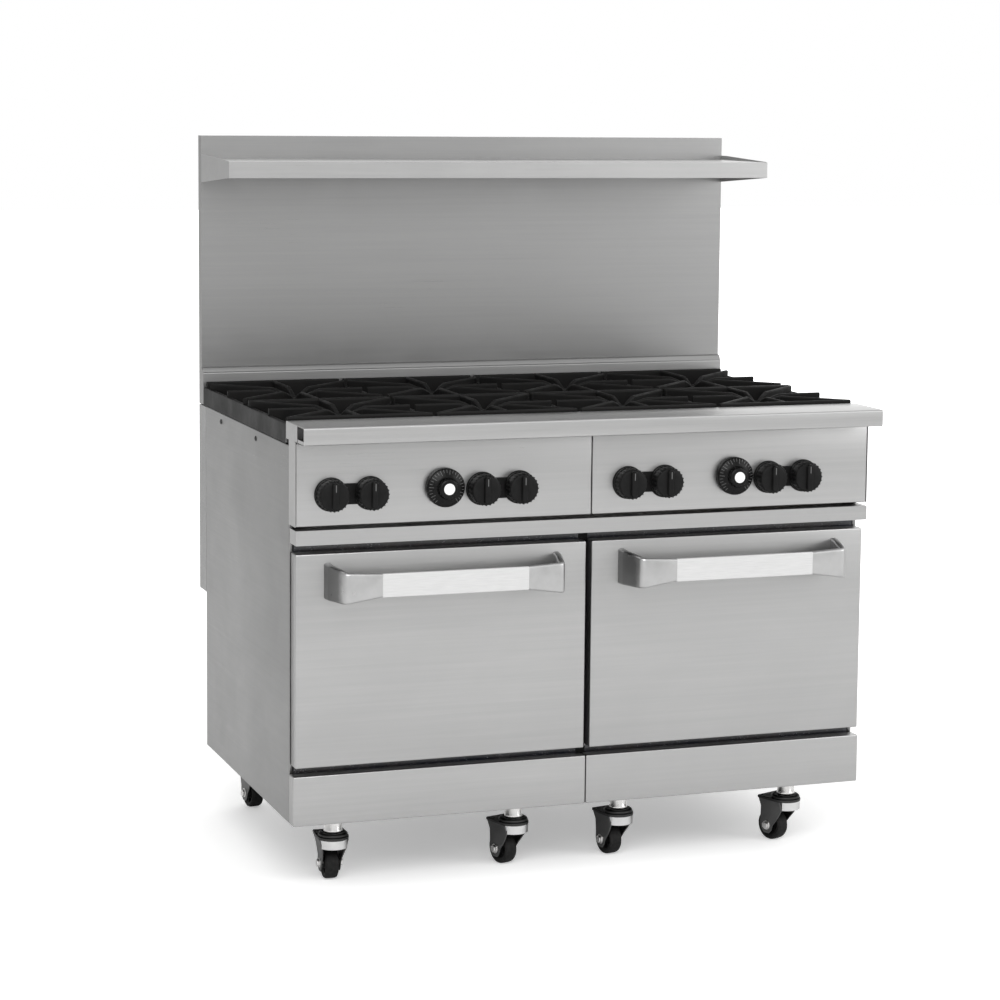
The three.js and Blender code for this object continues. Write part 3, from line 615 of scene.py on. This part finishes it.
def back_fittings():
    """Screws along the back sheets, and an escutcheon and threaded stub at the gas inlet."""
    low, high = span("rear_panel")
    bm = bmesh.new()
    rows, columns, riser_screws = ((low.y + 1.5, low.z + 14), (high.y, high.z - 16)), 9, 5
    for y, z in rows:
        for k in range(columns):
            screw(bm, (low.x + 24 + k * (high.x - low.x - 48) / (columns - 1), y, z), (0, 1, 0), 4.5)
    for k in range(riser_screws):
        for x in (low.x + 16, high.x - 16):
            screw(bm, (x, high.y, high.z + 45 + k * 125), (0, 1, 0), 4.5)
    piece("back_screws", bm, ZINC, "range", crease=30)
    bm = bmesh.new()
    pipe_radius = 13.5
    inlet = (span("gas_manifold")[1].x - pipe_radius, high.y, centre_of("burner_knob_1").z)
    pipe = Matrix.Translation(inlet) @ Matrix.Rotation(math.radians(-90), 4, "X")
    draw_turned(bm, [(14.2, -1), (36, -1), (36, 0.8), (34, 1.8), (14.2, 2.2)], pipe, 48, looped=True)
    piece("inlet_escutcheon", bm, STEEL_X, "range", bevel=0.2)
    bm = bmesh.new()
    thread = [(13.7, -22)]
    for k in range(7):
        thread += [(14.6, -21 + 3 * k), (13.5, -19.5 + 3 * k)]
    draw_turned(bm, thread + [(12.6, 1.5), (10.4, 1.5), (10.4, -22)], pipe, 40, looped=True)
    piece("inlet_thread", bm, DARK_STEEL, "range", crease=30)


# ---- controls ------------------------------------------------------------------------------------


def on_panel(node, lift):
    """A matrix that stands a drawing on the control panel at a node's centre, its +Z towards the cook."""
    centre = centre_of(node)
    face = span("control_panel_left")[0].y - lift
    return Matrix.Translation((centre.x, face, centre.z)) @ Matrix.Rotation(math.radians(90), 4, "X")


def burner_knob(number):
    """A skirt, a deep ribbed drum and a raised grip bar with a printed line."""
    node = f"burner_knob_{number}"
    body = f"knob_{number}"
    place = on_panel(node, 4)
    bm = bmesh.new()
    drum = [
        (0.01, 0.2), (31.2, 0.2), (32, 1), (32, 5), (31.2, 6.2), (30.2, 7), (30, 10), (29.6, 25),
        (28.4, 27.6), (25.4, 28.8), (10, 29.2), (0.01, 29.2),
    ]
    draw_turned(bm, drum, sides=64)
    ribs = 24
    for i in range(ribs):
        rib = draw_block(bm, (28.6, -1.3, 6.5), (31.0, 1.3, 25.6))
        bmesh.ops.transform(bm, matrix=Matrix.Rotation(2 * math.pi * i / ribs, 4, "Z"), verts=rib)
    grip = ((26, 8.2, 27, 6), (31, 7.4, 26.6, 6), (34.6, 6.4, 26, 5.6), (36, 5.0, 24.6, 4.6))
    rings = []
    for height, width, length, corner in grip:
        ring = []
        for sx, sy, start in ((1, 1, 0), (-1, 1, 90), (-1, -1, 180), (1, -1, 270)):
            for k in range(6):
                t = math.radians(start + 18 * k)
                x = sx * (width - corner) + corner * math.cos(t)
                y = sy * (length - corner) + corner * math.sin(t)
                waisted = x * (1 - 0.16 * math.cos(y / length * math.pi / 2))
                ring.append(Vector((waisted, y, height)))
        rings.append(ring)
    draw_rings(bm, rings)
    draw_turned(bm, [(0.01, -13), (4, -13), (4, 1), (0.01, 1)], sides=24)
    piece(f"knob_body_{number}", bm, KNOB_BLACK, body, place, replaces=(node,), bevel=0.5)
    bm = bmesh.new()
    draw_block(bm, (-0.9, 9, 35.6), (0.9, 23, 36.25))
    piece(f"knob_line_{number}", bm, FAINT_MARKS, body, place, crease=30)


def bezel(number, left, right):
    """A figure-of-eight backing plate behind a pair of knobs."""
    a, b = centre_of(f"burner_knob_{left}"), centre_of(f"burner_knob_{right}")
    face = span("control_panel_left")[0].y
    middle = (a + b) / 2
    half = (b.x - a.x) / 2
    radius, half_waist = 33.2, 20.5
    neck = math.asin(half_waist / radius)
    outline = []
    for sign, centre in ((1, half), (-1, -half)):
        base = 0 if sign > 0 else math.pi
        for k in range(41):
            t = base + (math.pi - neck) * (k / 20 - 1)
            outline.append((middle.x + centre + radius * math.cos(t), middle.z + radius * math.sin(t)))
    bm = bmesh.new()
    draw_prism(bm, outline, "y", face - 3.2, face + 0.2)
    piece(f"knob_bezel_{number}", bm, KNOB_BLACK, "range", bevel=0.8)


def oven_dial(side):
    """A thermostat dial: a deep skirt graduated on its sloping face, a fluted grip and a pale centre cap."""
    node = f"oven_dial_{side}"
    body = f"dial_{side}"
    place = on_panel(node, 2)
    bm = bmesh.new()
    skirt = [(0.01, 0.2), (37.6, 0.2), (38.4, 1), (38.4, 12.8), (37.4, 14.6), (24.8, 20.2), (22.8, 21)]
    draw_turned(bm, skirt + [(0.01, 21)], sides=72)
    grip = ((20, 22, 0), (22, 21.6, 0.9), (29, 20.2, 0.9), (32, 19, 0.5), (33.4, 16.6, 0), (33.8, 13, 0))
    flutes, points = 20, 120
    rings = []
    for height, radius, depth in grip:
        ring = []
        for i in range(points):
            t = 2 * math.pi * i / points
            r = radius - depth * (0.5 + 0.5 * math.cos(t * flutes))
            ring.append(Vector((r * math.cos(t), r * math.sin(t), height)))
        rings.append(ring)
    draw_rings(bm, rings)
    piece(f"dial_body_{side}", bm, DIAL_BLACK, body, place, replaces=(node,), bevel=0.3)
    bm = bmesh.new()
    draw_turned(bm, [(0.01, 33.4), (11.2, 33.4), (11.2, 34.2), (10.4, 34.8), (0.01, 35)], sides=40)
    piece(f"dial_cap_{side}", bm, MARKS, body, place, crease=30)
    bm = bmesh.new()
    ticks, sweep, slope = 27, 280, 0.4444
    for i in range(ticks):
        inner = 27 if i % 3 == 0 else 30.5
        tick = draw_block(bm, (inner, -0.45, 0.0), (36.2, 0.45, 0.35))
        for v in tick:
            v.co.z += 20.2 - (v.co.x - 24.8) * slope
        angle = math.radians(90 - sweep / 2 + i * sweep / (ticks - 1))
        bmesh.ops.transform(bm, matrix=Matrix.Rotation(angle, 4, "Z"), verts=tick)
    piece(f"dial_marks_{side}", bm, FAINT_MARKS, body, place, crease=30)


# ---- doors ---------------------------------------------------------------------------------------


def oven_middle(side):
    """The x of an oven's centre line."""
    return centre_of(f"oven_liner_{side}").x


def handle(side):
    """Cast end brackets that sweep back to the door, and a flat pale plate between them."""
    node = f"door_handle_{side}"
    body = f"door_{side}"
    low, high = span(node)
    door = span(f"door_outer_{side}")[0].y
    middle = (low.x + high.x) / 2
    front = low.y
    half = (high.x - low.x) / 2
    plate_half = 149.5
    corner = 5.0
    flank = [(half, door - 0.2), (half - 2, door - 20), (half - 18, front + 0.6)]
    path = fillet(flank + [(plate_half - 0.5, front + 0.6)], 16, 8)
    length = sum((b - a).length for a, b in zip(path, path[1:]))
    bm = bmesh.new()
    for sign in (-1, 1):
        rings = []
        gone = 0.0
        for i, p in enumerate(path):
            ahead = (path[min(i + 1, len(path) - 1)] - path[max(i - 1, 0)]).normalized()
            inward = Vector((ahead.y, -ahead.x))
            if i:
                gone += (p - path[i - 1]).length
            t = gone / length
            top = high.z - 12.5 + 12.5 * (1 - t) ** 1.5
            bottom = low.z + 3 * t + 10 * max(0.0, (t - 0.4) / 0.6) ** 1.6
            thick = 15 - 3 * t
            ring = []
            for sx, sz, start in ((1, 1, 0), (0, 1, 90), (0, 0, 180), (1, 0, 270)):
                for k in range(5):
                    a = math.radians(start + 22.5 * k)
                    across = sx * (thick - 2 * corner) + corner + corner * math.cos(a)
                    height = bottom + corner + sz * (top - bottom - 2 * corner) + corner * math.sin(a)
                    point = p + inward * across
                    ring.append(Vector((middle + sign * point.x, point.y, height)))
            rings.append(ring)
        draw_rings(bm, rings)
    piece(f"handle_brackets_{side}", bm, CASTING, body, replaces=(node,), crease=60)
    bm = bmesh.new()
    draw_block(bm, (middle - plate_half, front, low.z + 13), (middle + plate_half, front + 8, low.z + 59))
    piece(f"handle_plate_{side}", bm, PLATE, body, bevel=1.6, segments=3)


def door_seal(side):
    """A braided gasket round the door's inner plug, and the screws that hold the liner."""
    low, high = span(f"door_liner_{side}")
    middle = oven_middle(side)
    back = span("left_side_panel")[0].y - 3.2
    width = 9
    across, bottom, top = 262, low.z + 14, high.z - 23
    loops = []
    for inset, radius in ((0, 18), (width, 10)):
        x, z0, z1 = across - inset, bottom + inset, top - inset
        loops.append(fillet([(0, z0), (x, z0), (x, z1), (-x, z1), (-x, z0), (0, z0)], radius, 5))
    rings = []
    for a, b in zip(*loops):
        rings.append([
            Vector((middle + a.x, back - 0.2, a.y)), Vector((middle + b.x, back - 0.2, b.y)),
            Vector((middle + b.x * 0.25 + a.x * 0.75, back + 1.9, b.y * 0.25 + a.y * 0.75)),
        ])
    bm = bmesh.new()
    draw_rings(bm, rings[:-1], looped=True)
    piece(f"door_gasket_{side}", bm, GASKET, f"door_{side}", crease=30)
    bm = bmesh.new()
    for z in (low.z + 42, low.z + 210, low.z + 378):
        for x in (-276, 276):
            screw(bm, (middle + x, back, z), (0, 1, 0), 4.0, 1.6)
    piece(f"door_liner_screws_{side}", bm, ZINC, f"door_{side}", crease=30)


def door_arms(side):
    """Curved link arms, centred on the hinge, that slide through slots in the oven's face."""
    joint = next(j for j in frame["joints"] if j["name"] == f"door_{side}_hinge")
    pivot = Vector(joint["pos_m"]) / MM
    middle = oven_middle(side)
    inner, outer, steps = 112, 126, 24
    turns = [math.radians(4 + k * 80 / steps) for k in range(steps + 1)]
    arc = [(outer, t) for t in turns] + [(inner, t) for t in reversed(turns)]
    outline = [(pivot.y + radius * math.cos(t), pivot.z + radius * math.sin(t)) for radius, t in arc]
    bm = bmesh.new()
    for x in (middle - 275, middle + 275):
        draw_prism(bm, outline, "x", x - 2, x + 2)
    piece(f"door_arms_{side}", bm, DARK_STEEL, f"door_{side}", bevel=0.5)


def oven_rack(side, level):
    """A chrome wire rack lying on the guides."""
    middle = oven_middle(side)
    z = {1: 352.2, 2: 432.2}[level]
    front, back, half = -296, 330, 247
    left, right = middle - half, middle + half
    bm = bmesh.new()
    corners = [(left, front, z), (left, back, z), (right, back, z), (right, front, z)]
    draw_tube(bm, fillet([(middle, front, z), *corners, (middle, front, z)], 22, 5), 3.2, 10)
    wires = 14
    for k in range(wires):
        x = left + 19 + k * (2 * half - 38) / (wires - 1)
        draw_tube(bm, [(x, front, z + 2.5), (x, back - 10, z + 2.5), (x, back, z + 12)], 1.8, 8)
    for y in (-140, 60, back):
        draw_tube(bm, [(left, y, z), (right, y, z)], 2.6, 8)
    piece(f"oven_rack_{side}_{level}", bm, CHROME, "range", crease=60)


def oven_bulb(side):
    """The thermostat's copper-coloured sensing bulb in clips on the side wall, and its capillary."""
    x, z = oven_middle(side) + 241, 604
    bm = bmesh.new()
    draw_tube(bm, [(x, -20, z), (x, 150, z)], 4.5, 14)
    draw_tube(bm, fillet([(x, -20, z), (x, -60, z), (x, -90, z + 22), (x, -120, z + 31)], 20, 5), 1.3, 8)
    piece(f"oven_bulb_{side}", bm, BRASS, "range", crease=50)
    bm = bmesh.new()
    for y in (10, 120):
        draw_block(bm, (x - 5.5, y, z - 7), (x + 12.8, y + 8, z - 5.5))
        draw_block(bm, (x - 5.5, y, z - 6), (x - 4.6, y + 8, z + 4))
    piece(f"oven_bulb_clips_{side}", bm, ZINC, "range", bevel=0.3)


# ---- cooktop -------------------------------------------------------------------------------------


def draw_bar(bm, start, end, top_start, top_end, foot, width, draft=1.2):
    """A cast bar between two plan points, narrower at its foot."""
    a, b = Vector(start), Vector(end)
    across = Vector((-(b - a).y, (b - a).x)).normalized()
    rings = []
    for p, top in ((a, top_start), (b, top_end)):
        w = width / 2
        section = [(-w + draft, foot), (w - draft, foot), (w, top - 3), (w - 1.3, top - 0.6), (w - 3, top)]
        section += [(-w + 3, top), (-w + 1.3, top - 0.6), (-w, top - 3)]
        rings.append([Vector((*(p + across * s), z)) for s, z in section])
    return draw_rings(bm, rings)


def grate(node, body):
    """Full-height front and back bars, low side rails, and eight fingers that dip to a small hub."""
    low, high = span(node)
    centre = (low + high) / 2
    top, foot = high.z, low.z
    bm = bmesh.new()
    half_x, half_y = (high.x - low.x) / 2, (high.y - low.y) / 2
    for sign in (-1, 1):
        y = centre.y + sign * (half_y - 5)
        draw_bar(bm, (low.x, y), (high.x, y), top, top, foot, 10)
        x = centre.x + sign * (half_x - 5)
        draw_bar(bm, (x, low.y + 6), (x, high.y - 6), top - 14, top - 14, foot, 10)
    corner_reach = min(half_x, half_y) * math.sqrt(2) - 1.5
    for k in range(8):
        c, s = math.cos(k * math.pi / 4), math.sin(k * math.pi / 4)
        reach = {0: half_x - 1, 2: half_y - 1}.get(k % 4, corner_reach)
        stops = [(15, top - 15), (34, top - 6.5), (54, top), (reach, top)]
        for (r0, z0), (r1, z1) in zip(stops, stops[1:]):
            a = (centre.x + r0 * c, centre.y + r0 * s)
            b = (centre.x + r1 * c, centre.y + r1 * s)
            draw_bar(bm, a, b, z0, z1, top - 26, 9)
    hub = [(11, -25), (22, -25), (23, -20), (22, -17), (13, -16.4), (11, -18)]
    draw_turned(bm, hub, Matrix.Translation((centre.x, centre.y, top)), 36, looped=True)
    piece(f"{node}_casting", bm, IRON, body, replaces=(node,), bevel=0.5, crease=30)


def burner_head(name, x, y, top):
    """A round cast head with a ring of ports under a domed cap."""
    place = Matrix.Translation((x, y, top - 30))
    ports = 40
    profile = [
        (0, 56, 0), (8, 59, 0), (10, 59.5, 0), (11, 58.5, 5), (18, 54, 5),
        (19, 52, 0), (23, 44, 0), (28, 24, 0), (30, 8, 0),
    ]
    rings = []
    for height, radius, depth in profile:
        ring = []
        for i in range(ports * 4):
            t = 2 * math.pi * i / (ports * 4)
            r = radius - (depth if i % 4 in (0, 1) else 0)
            ring.append(Vector((r * math.cos(t), r * math.sin(t), height)))
        rings.append(ring)
    bm = bmesh.new()
    draw_rings(bm, rings)
    piece(name, bm, BURNER, "range", place, crease=30)


def cooktop():
    for column in range(1, 5):
        finish_node(f"burner_pair_{column}", BURNER, 0.8)
        for row, short in (("front", "f"), ("rear", "r")):
            node = f"grate_{row}_{column}"
            grate(node, f"grate_{short}{column}")
            middle = centre_of(node)
            top = span(f"burner_pair_{column}")[1].z + 2
            burner_head(f"burner_head_{row}_{column}", middle.x, middle.y, top)
        pilot(column)


def pilot(column):
    """Bent pilot tubes that rise beside the front and rear burners, each with a tip."""
    x = centre_of(f"grate_front_{column}").x + 40
    run, rise, tip_height = 792, 872, 878
    bm = bmesh.new()
    for row, turn in (("front", 1), ("rear", -1)):
        y = centre_of(f"grate_{row}_{column}").y
        tip = (x - 6, y + 56 * turn, tip_height)
        path = [(x + 10, -300, run), (x + 10, y + 40 * turn, run), (x + 10, y + 52 * turn, rise), tip]
        draw_tube(bm, fillet(path, 16, 5), 2.6, 10)
        aim = Matrix.Translation(tip) @ Matrix.Rotation(math.radians(-90), 4, "Y")
        draw_turned(bm, [(0.01, -2), (4.2, -2), (4.2, 8), (3.2, 9), (0.01, 9)], aim, 16)
    piece(f"pilot_tubes_{column}", bm, ZINC, "range", crease=45)


# ---- casters -------------------------------------------------------------------------------------


def caster_place(number):
    """The swivel's matrix: origin on the floor under the stem, wheel trailing along +Y."""
    joints = {j["name"]: j for j in frame["joints"]}
    stem = Vector(joints[f"caster_{number}_swivel"]["pos_m"]) / MM
    axle = Vector(joints[f"wheel_{number}_spin"]["pos_m"]) / MM
    trail = Vector((axle.x - stem.x, axle.y - stem.y))
    turn = math.atan2(-trail.x, trail.y)
    place = Matrix.Translation((stem.x, stem.y, 0)) @ Matrix.Rotation(turn, 4, "Z")
    return place, trail.length, axle.z


def caster_yoke(number, place, trail, crown):
    """Tapering cheeks in a much darker copy of the band's zinc, that darkness painted shade on the fork's
    sides, a bright rounded band across the front, and the dark swivel plate and race above.
    """
    bm = bmesh.new()
    stops = [
        (crown - 6.5, 30, -12, 50), (73, 25.6, -13, 47), (60, 23, -4, trail + 15), (46, 20.5, 7, trail + 18),
        (34, 20.5, trail - 18, trail + 18), (22, 20.5, trail - 14, trail + 14),
        (15, 20.5, trail - 7, trail + 7),
    ]
    for sign in (-1, 1):
        rings = []
        for z, x, y0, y1 in stops:
            corners = ((x, y0), (x, y1), (x - 2.5, y1), (x - 2.5, y0))
            rings.append([Vector((sign * across, y, z)) for across, y in corners])
        draw_rings(bm, rings)
    body, fork = f"caster_{number}", f"caster_fork_{number}"
    piece(f"caster_cheeks_{number}", bm, SHADED_FORK_ZINC, body, place, replaces=(fork,), bevel=0.8)

    bm = bmesh.new()
    turns = [math.radians(-60 + 6 * k) for k in range(21)]
    band = [(30.2 * math.sin(t), -30.2 * math.cos(t)) for t in turns]
    band += [(27.6 * math.sin(t), -27.6 * math.cos(t)) for t in reversed(turns)]
    draw_prism(bm, band, "z", 73, crown - 4)
    piece(f"caster_band_{number}", bm, FORK_ZINC, body, place, bevel=0.7)

    bm = bmesh.new()
    turns = [math.radians(-84 + 8 * k) for k in range(22)]
    plate = [(31.4 * math.sin(t), -31.4 * math.cos(t)) for t in turns]
    draw_prism(bm, plate + [(32.5, 20), (31, 52), (-31, 52), (-32.5, 20)], "z", crown - 6.5, crown - 0.5)
    race = [(0.01, -1), (28, -1), (29.5, 1), (29.5, 4), (26.5, 7), (0.01, 7.3)]
    draw_turned(bm, race, Matrix.Translation((0, 0, crown)))
    piece(f"caster_swivel_plate_{number}", bm, DARK_STEEL, body, place, bevel=1.0)


def caster_wheel(number, place, axle):
    """A solid tyre on a ribbed hub, with its bolt, nuts and washers."""
    nut = [(0.01, 20.4), (8, 20.6), (8, 25.4), (7, 26.4), (0.01, 26.6)]
    washer = [(0.01, 17.6), (10, 17.6), (10, 21.2), (0.01, 21.4)]
    bm = bmesh.new()
    for sign in (-1, 1):
        draw_turned(bm, [(r, sign * h) for r, h in nut], axle, 6)
        draw_turned(bm, [(r, sign * h) for r, h in washer], axle, 28)
    draw_turned(bm, [(0.01, -19), (4.9, -19), (4.9, 19), (0.01, 19)], axle, 24)
    piece(f"caster_axle_{number}", bm, ZINC, f"caster_{number}", place, bevel=0.4)

    body, node = f"wheel_{number}", f"caster_wheel_{number}"
    bm = bmesh.new()
    half = [(21, -10.5), (25, -12.8), (27.5, -13.8), (30.3, -12.4), (31.7, -9.4), (32, -5)]
    draw_turned(bm, half + [(r, -h) for r, h in reversed(half)], axle, 72, looped=True)
    piece(f"caster_tyre_{number}", bm, TYRE, body, place, replaces=(node,), crease=40)

    bm = bmesh.new()
    half = [(6, -14), (10.5, -14), (11.5, -12.5), (12.5, -6), (22, -7.5)]
    draw_turned(bm, half + [(r, -h) for r, h in reversed(half)], axle, looped=True)
    ribs = 6
    for i in range(ribs):
        for low, high in ((6.0, 11.0), (-11.0, -6.0)):
            rib = draw_block(bm, (10.5, -1.2, low), (22, 1.2, high))
            turn = Matrix.Rotation(2 * math.pi * i / ribs, 4, "Z")
            bmesh.ops.transform(bm, matrix=axle @ turn, verts=rib)
    piece(f"caster_hub_{number}", bm, KNOB_BLACK, body, place, bevel=0.4)


def caster(number):
    """One swivel caster under its stem."""
    place, trail, radius = caster_place(number)
    race_top = span(f"caster_fork_{number}")[1].z
    caster_yoke(number, place, trail, race_top - 7.5)
    axle = Matrix.Translation((0, trail, radius)) @ Matrix.Rotation(math.radians(90), 4, "Y")
    caster_wheel(number, place, axle)
    foot, top = race_top + 0.7, 140.5
    stem = [(0.01, foot), (18.2, foot), (19, foot + 1.5), (19, foot + 4), (17.6, foot + 6), (17.6, top)]
    bm = bmesh.new()
    draw_turned(bm, stem + [(0.01, top)], sides=40)
    piece(f"caster_stem_{number}", bm, ZINC, "range", place, crease=40)


# ---- stage, light and camera ---------------------------------------------------------------------


def floor():
    bm = bmesh.new()
    bmesh.ops.create_grid(bm, x_segments=1, y_segments=1, size=30)
    mesh = bpy.data.meshes.new("studio_floor")
    bm.to_mesh(mesh)
    bm.free()
    ground = bpy.data.objects.new("studio_floor", mesh)
    scene.collection.objects.link(ground)
    look = Look("studio_floor")
    drift = look.noise((0.7, 0.7, 0.7), 3.0)
    look.put("Base Color", look.blend(drift, grey(0.88), grey(0.92)))
    look.put("Roughness", look.remap(drift, 0.3, 0.7, 0.75, 0.9))
    away = look.tree.nodes.new("ShaderNodeVectorMath")
    away.operation = "LENGTH"
    look.feed(away.inputs[0], look.place)
    look.put("Emission Color", (1, 1, 1, 1))
    seen = look.tree.nodes.new("ShaderNodeLightPath").outputs["Is Camera Ray"]
    glow = look.remap(away.outputs["Value"], 0.7, 3.0, 0.35, 0.95)
    look.put("Emission Strength", look.maths("MULTIPLY", glow, seen))
    mesh.materials.append(look.material)


def world_lobe(tree, direction, near, far, dim, bright):
    """A smooth brightness between two cosines of the angle to a direction."""
    towards = tree.nodes.new("ShaderNodeTexCoord")
    facing = tree.nodes.new("ShaderNodeVectorMath")
    facing.operation = "DOT_PRODUCT"
    facing.inputs[1].default_value = direction
    tree.links.new(towards.outputs["Generated"], facing.inputs[0])
    fade = tree.nodes.new("ShaderNodeMapRange")
    fade.interpolation_type = "SMOOTHSTEP"
    for key, setting in (("From Min", near), ("From Max", far), ("To Min", dim), ("To Max", bright)):
        fade.inputs[key].default_value = setting
    tree.links.new(facing.outputs["Value"], fade.inputs["Value"])
    return fade.outputs["Result"]


def world():
    """White to the camera; to all else, a soft room brightest in front, with a bright patch far behind."""
    room = bpy.data.worlds.new("studio")
    scene.world = room
    room.use_nodes = True
    tree = room.node_tree
    tree.nodes.clear()
    out = tree.nodes.new("ShaderNodeOutputWorld")
    mix = tree.nodes.new("ShaderNodeMixShader")
    path = tree.nodes.new("ShaderNodeLightPath")
    seen = tree.nodes.new("ShaderNodeBackground")
    seen.inputs["Color"].default_value = (1, 1, 1, 1)
    seen.inputs["Strength"].default_value = 1.0
    lit = tree.nodes.new("ShaderNodeBackground")
    lit.inputs["Color"].default_value = (1.0, 1.0, 0.995, 1)
    room_glow = world_lobe(tree, (0.46, -0.81, 0.36), -0.7, 0.8, 0.6, 0.97)
    window = world_lobe(tree, (0.45, 0.887, 0.11), 0.8, 0.97, 0.0, 0.9)
    total = tree.nodes.new("ShaderNodeMath")
    tree.links.new(room_glow, total.inputs[0])
    tree.links.new(window, total.inputs[1])
    tree.links.new(total.outputs["Value"], lit.inputs["Strength"])
    tree.links.new(path.outputs["Is Camera Ray"], mix.inputs["Fac"])
    tree.links.new(lit.outputs[0], mix.inputs[1])
    tree.links.new(seen.outputs[0], mix.inputs[2])
    tree.links.new(mix.outputs[0], out.inputs["Surface"])


def area_light(name, at, look_at, size, power):
    data = bpy.data.lights.new(name, "AREA")
    data.shape = "RECTANGLE"
    data.size, data.size_y = size
    data.energy = power
    lamp = bpy.data.objects.new(name, data)
    lamp.location = at
    lamp.rotation_euler = (Vector(look_at) - Vector(at)).to_track_quat("-Z", "Y").to_euler()
    scene.collection.objects.link(lamp)


def lights():
    world()
    area_light("key", (-1.6, -4.2, 3.6), (0, 0, 0.8), (3.2, 2.4), 110)
    area_light("fill", (3.6, -3.0, 2.2), (0, 0, 0.7), (2.4, 2.4), 45)


def camera():
    """A long lens from the left of centre, a little above the cooktop."""
    data = bpy.data.cameras.new("camera")
    data.lens = 100.0
    data.sensor_width = 36.0
    data.shift_x = -0.0401
    data.shift_y = -0.0749
    data.clip_end = 100.0
    view = bpy.data.objects.new("camera", data)
    yaw, pitch, roll = (math.radians(a) for a in (-20.14, -6.837, 0.618))
    aim = Matrix.Rotation(yaw, 4, "Z") @ Matrix.Rotation(math.pi / 2 + pitch, 4, "X")
    turn = aim @ Matrix.Rotation(roll, 4, "Z")
    view.matrix_world = Matrix.Translation((-1.983, -5.4676, 1.5675)) @ turn
    scene.collection.objects.link(view)
    scene.camera = view


body_panels()
ledge()
side_screws()
riser_trim()
back_fittings()
for number in range(1, 9):
    burner_knob(number)
    caster(number)
for number, (left, right) in enumerate(((1, 2), (3, 4), (5, 6), (7, 8)), 1):
    bezel(number, left, right)
for side in ("left", "right"):
    oven_dial(side)
    handle(side)
    door_seal(side)
    door_arms(side)
    oven_bulb(side)
    for level in (1, 2):
        oven_rack(side, level)
cooktop()
floor()
lights()
camera()
scene.view_settings.view_transform = "Standard"
